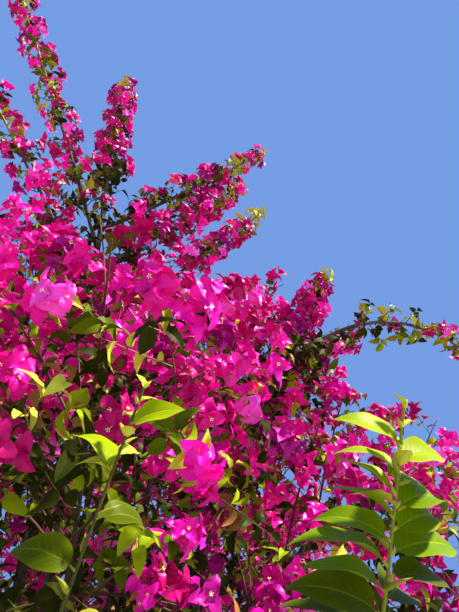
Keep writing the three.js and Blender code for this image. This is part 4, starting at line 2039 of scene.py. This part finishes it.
@dataclass(frozen=True)
class Relief:
    """The relief of bark: lengthwise furrows that wander, and swellings at the old leaf scars.

    Each limb's relief is turned by phase. shares are the weights of the coarse, the fine and the
    finest furrows, and drifts how far the first two wander.
    """

    furrows: int = 5
    depth: float = 0.05
    wander: float = 7.0
    swell: float = 0.06
    swell_step: float = 0.11
    collar: float = 0.4
    collar_length: float = 0.03
    phase: float = 1.7
    drifts: Pair = (2.2, 3.1)
    finest_wander: float = 9
    shares: Triple = (0.55, 0.3, 0.15)
    scar_spread: float = 0.012

    def factor(self, angle: Array, length: Array, seed: int) -> Array:
        """Works out by how much the relief raises or lowers the radius.

        Args:
            angle: round the limb, in radians.
            length: along the limb, in metres.
            seed: which limb it is.

        Returns:
            The factor of the radius.
        """
        phase = seed * self.phase
        drift = np.sin(self.wander * length + phase)
        ridges = np.cos(self.furrows * angle + self.drifts[0] * drift + phase)
        fine = np.cos((2 * self.furrows + 1) * angle - self.drifts[1] * drift + 2 * phase)
        finest = np.cos((3 * self.furrows + 2) * angle + self.finest_wander * self.wander * length + phase)
        furrow = self.shares[0] * ridges + self.shares[1] * fine + self.shares[2] * finest
        place = np.mod(length + phase, self.swell_step) / self.swell_step - 0.5
        scar = np.exp(-(place**2) / self.scar_spread)
        collar = self.collar * np.exp(-length / self.collar_length)
        return 1 + self.depth * furrow + self.swell * scar * (0.5 + 0.5 * np.cos(angle + phase)) + collar


@dataclass
class Wood:
    """Trunk, stems, boughs and the masses' stems, each under bark with its own relief."""

    skeleton: Skeleton
    trunk_sides: int = 48
    trunk_steps: int = 60
    limb_sides: int = 14
    limb_step: float = 0.02
    stem_sides: int = 8
    stem_step: float = 0.03
    trunk_relief: Relief = Relief(furrows=7, depth=0.045, wander=11, swell=0.03, collar=0.0)
    limb_relief: Relief = Relief()
    stem_relief: Relief = Relief(furrows=3, depth=0.04, collar=0.25, collar_length=0.012)
    trunk_seed: int = 3
    least_steps: int = 6
    dome_rise: float = 0.45
    dome_width: float = 0.72
    dome_top: float = 0.6

    def build(self, material: bpy.types.Material) -> None:
        """Builds the four pieces of bark.

        Args:
            material: the bark.
        """
        trunk = Parts()
        self.add_trunk(trunk)
        dress(trunk.piece("trunk_bark", material), ["trunk"])
        for name, start in (("stem_bark", "stem_"), ("bough_bark", "")):
            parts = Parts()
            limbs = [limb for limb in self.skeleton.limbs if limb.name.startswith("stem_") == bool(start)]
            for k, limb in enumerate(limbs):
                self.add_limb(parts, limb, k + 1, self.limb_relief, self.limb_sides, self.limb_step)
            dress(parts.piece(name, material), [limb.name for limb in limbs])
        parts = Parts()
        masses = [mass for mass in self.skeleton.masses if mass.kind is not Kind.WHIP]
        for mass in masses:
            stem = mass.stem.part(0.0, mass.wood)
            self.add_limb(parts, stem, mass.seed, self.stem_relief, self.stem_sides, self.stem_step)
        dress(parts.piece("twig_bark", material), [mass.name for mass in masses])

    def add_trunk(self, parts: Parts) -> None:
        """Adds the trunk: flared and ridged at the foot, furrowed above, closed by a dome in the fork.

        Args:
            parts: the mesh that it joins.
        """

        def radius(t: Array, angle: Array) -> Array:
            """Works out the trunk's radius.

            Args:
                t: share of its length.
                angle: round it, in radians.

            Returns:
                The radius.
            """
            plain = TRUNK.foot_radius + (TRUNK.top_radius - TRUNK.foot_radius) * t
            spread = np.exp(-t * TRUNK.height / TRUNK.flare_height)
            ridged = 1 + spread * (TRUNK.flare + TRUNK.ridge_depth * np.cos(TRUNK.ridges * angle))
            return plain * ridged * self.trunk_relief.factor(angle, t * TRUNK.height, self.trunk_seed)

        self.add_tube(parts, trunk_line(), radius, self.trunk_sides, self.trunk_steps, level_foot=True)

    def add_limb(self, parts: Parts, limb: Limb, seed: int, relief: Relief, sides: int, step: float) -> None:
        """Adds a limb with its relief.

        Args:
            parts: the mesh that it joins.
            limb: the limb.
            seed: which limb it is.
            relief: the relief of its bark.
            sides: how many sides it has.
            step: how long each ring of faces is.
        """
        span = float(np.sum(np.linalg.norm(np.diff(limb.points, axis=0), axis=1)))

        def radius(t: Array, angle: Array) -> Array:
            """Returns the limb's radius."""
            return limb.radius(t) * relief.factor(angle, t * span, seed)

        steps = max(self.least_steps, round(span / step))
        self.add_tube(parts, limb.arc, radius, sides, steps)

    def add_tube(
        self,
        parts: Parts,
        line: Arcs,
        radius: Callable[[Array, Array], Array],
        sides: int,
        steps: int,
        level_foot: bool = False,
    ) -> None:
        """Adds a closed tube along an arc, with a dome on its tip.

        Args:
            parts: the mesh that it joins.
            line: the arc.
            radius: gives the radius for a share of the arc and an angle.
            sides: how many sides it has.
            steps: how many rings of faces it has.
            level_foot: whether the first ring lies level.
        """
        share = np.linspace(0, 1, steps + 1)
        arcs = line.pick(np.zeros(steps + 1, int))
        centre = arcs.point(share)
        way, side, other = arcs.frame(share)
        angle = np.arange(sides) * 2 * math.pi / sides
        size = radius(share[:, None], angle[None])
        out = side[:, None] * np.cos(angle)[None, :, None] + other[:, None] * np.sin(angle)[None, :, None]
        rings = centre[:, None] + out * size[..., None]
        if level_foot:
            rings[0, :, 2] = 0
        onward = way[-1] * np.mean(size[-1])
        dome = centre[-1] + onward * self.dome_rise + self.dome_width * (rings[-1] - centre[-1])
        top = centre[-1] + onward * self.dome_top
        points = np.concatenate([rings.reshape(-1, 3), dome, [centre[0], top]])
        faces = []
        for row in range(steps + 1):
            for k in range(sides):
                a, b = row * sides + k, row * sides + (k + 1) % sides
                faces.append((a, b, b + sides, a + sides))
        foot, tip = len(points) - 2, len(points) - 1
        last = (steps + 1) * sides
        for k in range(sides):
            faces.append((foot, (k + 1) % sides, k))
            faces.append((tip, last + k, last + (k + 1) % sides))
        parts.add(points, faces)


# The foliage


@dataclass
class Foliage:
    """Twigs, leaves, bracts, flowers, thorns and young whips, each kind apart, in pieces of bounded size.

    Steps and sides are the faces along and round a shoot. The green tip of a cane starts tip_overlap
    below the end of its bark, and thinning is by how much shoots are thinner than their stems.
    """

    skeleton: Skeleton
    growth: Growth
    near_point: Array
    piece_limit: int = 190_000
    seed: int = 5
    twig_steps: int = 4
    stalk_steps: int = 1
    tip_steps: int = 16
    tip_sides: int = 6
    tip_overlap: float = 0.02
    tip_thinning: float = 0.5
    whip_steps: int = 40
    whip_sides: int = 10
    whip_thinning: Pair = (0.75, 0.5)
    mostly: float = 0.5
    petiole_steps: int = 2
    petiole_sides: int = 5
    scatter: Tree = field(default_factory=scatter_tree)
    sweep: Tree = field(default_factory=sweep_tree)

    def names(self, *kinds: Kind) -> list[str]:
        """Returns the names of the masses of some kinds."""
        return [mass.name for mass in self.skeleton.masses if mass.kind in kinds]

    def build(self) -> None:
        """Builds every kind of piece."""
        growth = self.growth
        crown = self.names(Kind.BLOSSOM, Kind.LEAF)
        twig, stalk = TWIG_FINISH.material(), STALK_FINISH.material()
        self.sweep_shoots("twigs", growth.wood, self.twig_steps, twig, crown)
        self.sweep_shoots("stalks", growth.stalks, self.stalk_steps, stalk, [])
        masses = self.names(Kind.LEAF)
        for i, tint in enumerate(LEAF_TINTS):
            finish = replace(LEAF_FINISH, name=f"leaf_{tint.name}", colour=tint.colour)
            blades = growth.leaves.pick(growth.leaves.tint == i)
            name = f"leaves_{tint.name}"
            self.scatter_blades(name, blades, LEAF_LEVELS, finish, masses)
        masses = self.names(Kind.BLOSSOM)
        for i, tint in enumerate(BRACT_TINTS):
            finish = replace(BRACT_FINISH, name=f"bract_{tint.name}", colour=tint.colour)
            blades = growth.bracts.pick(growth.bracts.tint == i)
            name = f"bracts_{tint.name}"
            self.scatter_blades(name, blades, BRACT_LEVELS, finish, masses)
        self.scatter_small("flowers", growth.flowers, FLOWER_SHAPE.mesh(), FLOWER_FINISH)
        self.scatter_small("thorns", growth.thorns, THORN_SHAPE.mesh(), THORN_FINISH)
        self.build_whips()

    def sweep_shoots(
        self,
        name: str,
        shoots: Sequence[Shoots],
        steps: int,
        material: bpy.types.Material,
        nodes: Sequence[str],
        sides: int = TWIG_SIDES,
    ) -> None:
        """Builds one piece of shoots.

        Args:
            name: the piece's name.
            shoots: the shoots, by order.
            steps: how many edges each has.
            material: its finish.
            nodes: the CAD nodes that it replaces.
            sides: how many sides each shoot has.
        """
        values = {"Finish": material, "Sides": sides}
        piece = grown_mesh(line_mesh(shoots, steps), self.sweep, values, name)
        piece.data.shade_smooth()
        dress(piece, nodes)

    def scatter_blades(
        self,
        name: str,
        blades: Blades,
        levels: Sequence[Level],
        finish: BladeFinish | VeinedLeafFinish,
        nodes: Sequence[str],
    ) -> None:
        """Builds the pieces of one tint: those with few faces, and the finer ones where one looks closely.

        Args:
            name: the pieces' name.
            blades: all blades of the tint.
            levels: the blade for each distance, the finest first.
            finish: the tint.
            nodes: the CAD nodes that they replace.
        """
        material = finish.material()
        distance = np.linalg.norm(blades.root - self.near_point, axis=1)
        nearest = 0.0
        for level in levels:
            rows = np.flatnonzero((distance >= nearest) & (distance < level.reach))
            nearest = level.reach
            if not len(rows):
                continue
            shape = level.shape
            collection = template_collection([shape.mesh(i) for i in range(shape.shapes)])
            count = math.ceil(len(rows) * shape.faces() / self.piece_limit)
            for k, part in enumerate(np.array_split(rows, count)):
                values = {
                    "Blades": collection,
                    "Finish": material,
                    "Shapes": shape.shapes,
                    "Seed": self.seed + k,
                }
                suffix = f"_{k + 1}" if count > 1 else ""
                label = f"{name}{level.label}{suffix}"
                piece = grown_mesh(point_mesh(blades.pick(part)), self.scatter, values, label)
                dress(piece, nodes)
            drop_collection(collection)

    def scatter_small(
        self, name: str, blades: Blades, mesh: bpy.types.Mesh, finish: BladeFinish
    ) -> None:
        """Builds one piece of small things of a single shape.

        Args:
            name: the piece's name.
            blades: where they are.
            mesh: the shape.
            finish: their finish.
        """
        collection = template_collection([mesh])
        values = {"Blades": collection, "Finish": finish.material(), "Shapes": 1, "Roll": math.pi}
        dress(grown_mesh(point_mesh(blades), self.scatter, values, name), [])
        drop_collection(collection)

    def build_whips(self) -> None:
        """Builds the young whips: green stems, large veined leaves and pale buds in their axils."""
        whips = [mass for mass in self.skeleton.masses if mass.kind is Kind.WHIP]
        green, dull = YOUNG_STEM.material(), SHADED_STEM.material()
        self.build_cane_tips(green)
        thinner = self.whip_thinning
        for mass, sizes in zip(whips, WHIPS):
            radii = (mass.stem.root_radius * thinner[0], mass.stem.tip_radius * thinner[1])
            # A whip mostly in shade gets the dark shaded stem: painted shade
            tone = dull if sizes.dull > self.mostly else green
            name = f"{mass.name}_stem"
            stem = [Shoots(mass.arc, radii)]
            self.sweep_shoots(name, stem, self.whip_steps, tone, [mass.name], self.whip_sides)
        petioles = self.growth.petioles
        self.sweep_shoots(
            "petioles", petioles, self.petiole_steps, green, [], self.petiole_sides
        )
        leaves = self.growth.whip_leaves
        names = [mass.name for mass in whips]
        for i, finish in enumerate(WHIP_FINISHES):
            blades = leaves.pick(leaves.tint == i)
            name = f"whip_leaves_{finish.name}"
            self.scatter_blades(name, blades, WHIP_LEAF_LEVELS, finish, names)
        self.scatter_small("whip_buds", self.growth.buds, BUD_SHAPE.mesh(), BUD_FINISH)
        self.scatter_small("whip_spurs", self.growth.spurs, THORN_SHAPE.mesh(), SPUR_FINISH)

    def build_cane_tips(self, material: bpy.types.Material) -> None:
        """Builds the green tips of the canes, beyond their bark.

        Args:
            material: the finish of young stems.
        """
        canes = [mass for mass in self.skeleton.masses if mass.kind is Kind.BLOSSOM and not mass.dense]
        tips = [mass.stem.part(mass.wood - self.tip_overlap, 1.0) for mass in canes]
        tips = [Shoots(tip.arc, (tip.root_radius, tip.tip_radius * self.tip_thinning)) for tip in tips]
        names = [mass.name for mass in canes]
        self.sweep_shoots(
            "cane_tips", tips, self.tip_steps, material, names, self.tip_sides
        )


# The studio


@dataclass(frozen=True)
class Studio:
    """A pale floor, soft light, and a camera at the photograph's viewing angle."""

    camera: Triple = (0.55, -1.85, 1.50)
    pitch: float = 40.0
    lens: float = 27.06
    sensor: float = 36.0
    sun_from: Triple = (0.62, -0.20, 0.76)
    sun_strength: float = 11.0
    sun_angle: float = 6.0
    sun_colour: Triple = (1.0, 0.95, 0.87)
    sky: Triple = (0.18, 0.34, 0.78)
    sky_strength: float = 1.0
    floor: Triple = (0.36, 0.36, 0.34)
    floor_size: float = 600.0
    floor_roughness: float = 0.9

    def build(self) -> None:
        """Builds the floor, the light and the camera."""
        self.build_floor()
        self.build_light()
        self.build_camera()
        bpy.context.scene.view_settings.view_transform = "Standard"

    def build_floor(self) -> None:
        """Lays the floor."""
        half = self.floor_size / 2
        mesh = bpy.data.meshes.new("floor")
        corners = [(-half, -half, 0), (half, -half, 0), (half, half, 0), (-half, half, 0)]
        mesh.from_pydata(corners, [], [(0, 1, 2, 3)])
        mesh.materials.append(BladeFinish("floor", self.floor, self.floor_roughness).material())
        floor = bpy.data.objects.new("floor", mesh)
        bpy.context.scene.collection.objects.link(floor)

    def build_light(self) -> None:
        """Sets the pale sky and the soft key light."""
        world = bpy.data.worlds.new("sky")
        world.use_nodes = True
        background = world.node_tree.nodes["Background"]
        background.inputs["Color"].default_value = (*self.sky, 1)
        background.inputs["Strength"].default_value = self.sky_strength
        bpy.context.scene.world = world
        sun = bpy.data.lights.new("key", "SUN")
        sun.energy = self.sun_strength
        sun.angle = math.radians(self.sun_angle)
        sun.color = self.sun_colour
        lamp = bpy.data.objects.new("key", sun)
        lamp.rotation_euler = Vector(self.sun_from).to_track_quat("Z", "Y").to_euler()
        bpy.context.scene.collection.objects.link(lamp)

    def build_camera(self) -> None:
        """Sets the camera that looks up at the crown."""
        data = bpy.data.cameras.new("camera")
        data.lens = self.lens
        data.sensor_width = self.sensor
        camera = bpy.data.objects.new("camera", data)
        camera.location = self.camera
        camera.rotation_euler = (math.radians(90 + self.pitch), 0, 0)
        bpy.context.scene.collection.objects.link(camera)
        bpy.context.scene.camera = camera


def main() -> None:
    """Builds the bush and its studio."""
    logging.basicConfig(level=logging.INFO, format="%(message)s")
    studio = Studio()
    studio.build()
    skeleton = Skeleton()
    skeleton.build()
    Wood(skeleton).build(BarkFinish().material())
    growth = Growth(skeleton)
    growth.build()
    Foliage(skeleton, growth, np.array(studio.camera)).build()


if __name__ == "__main__":
    main()
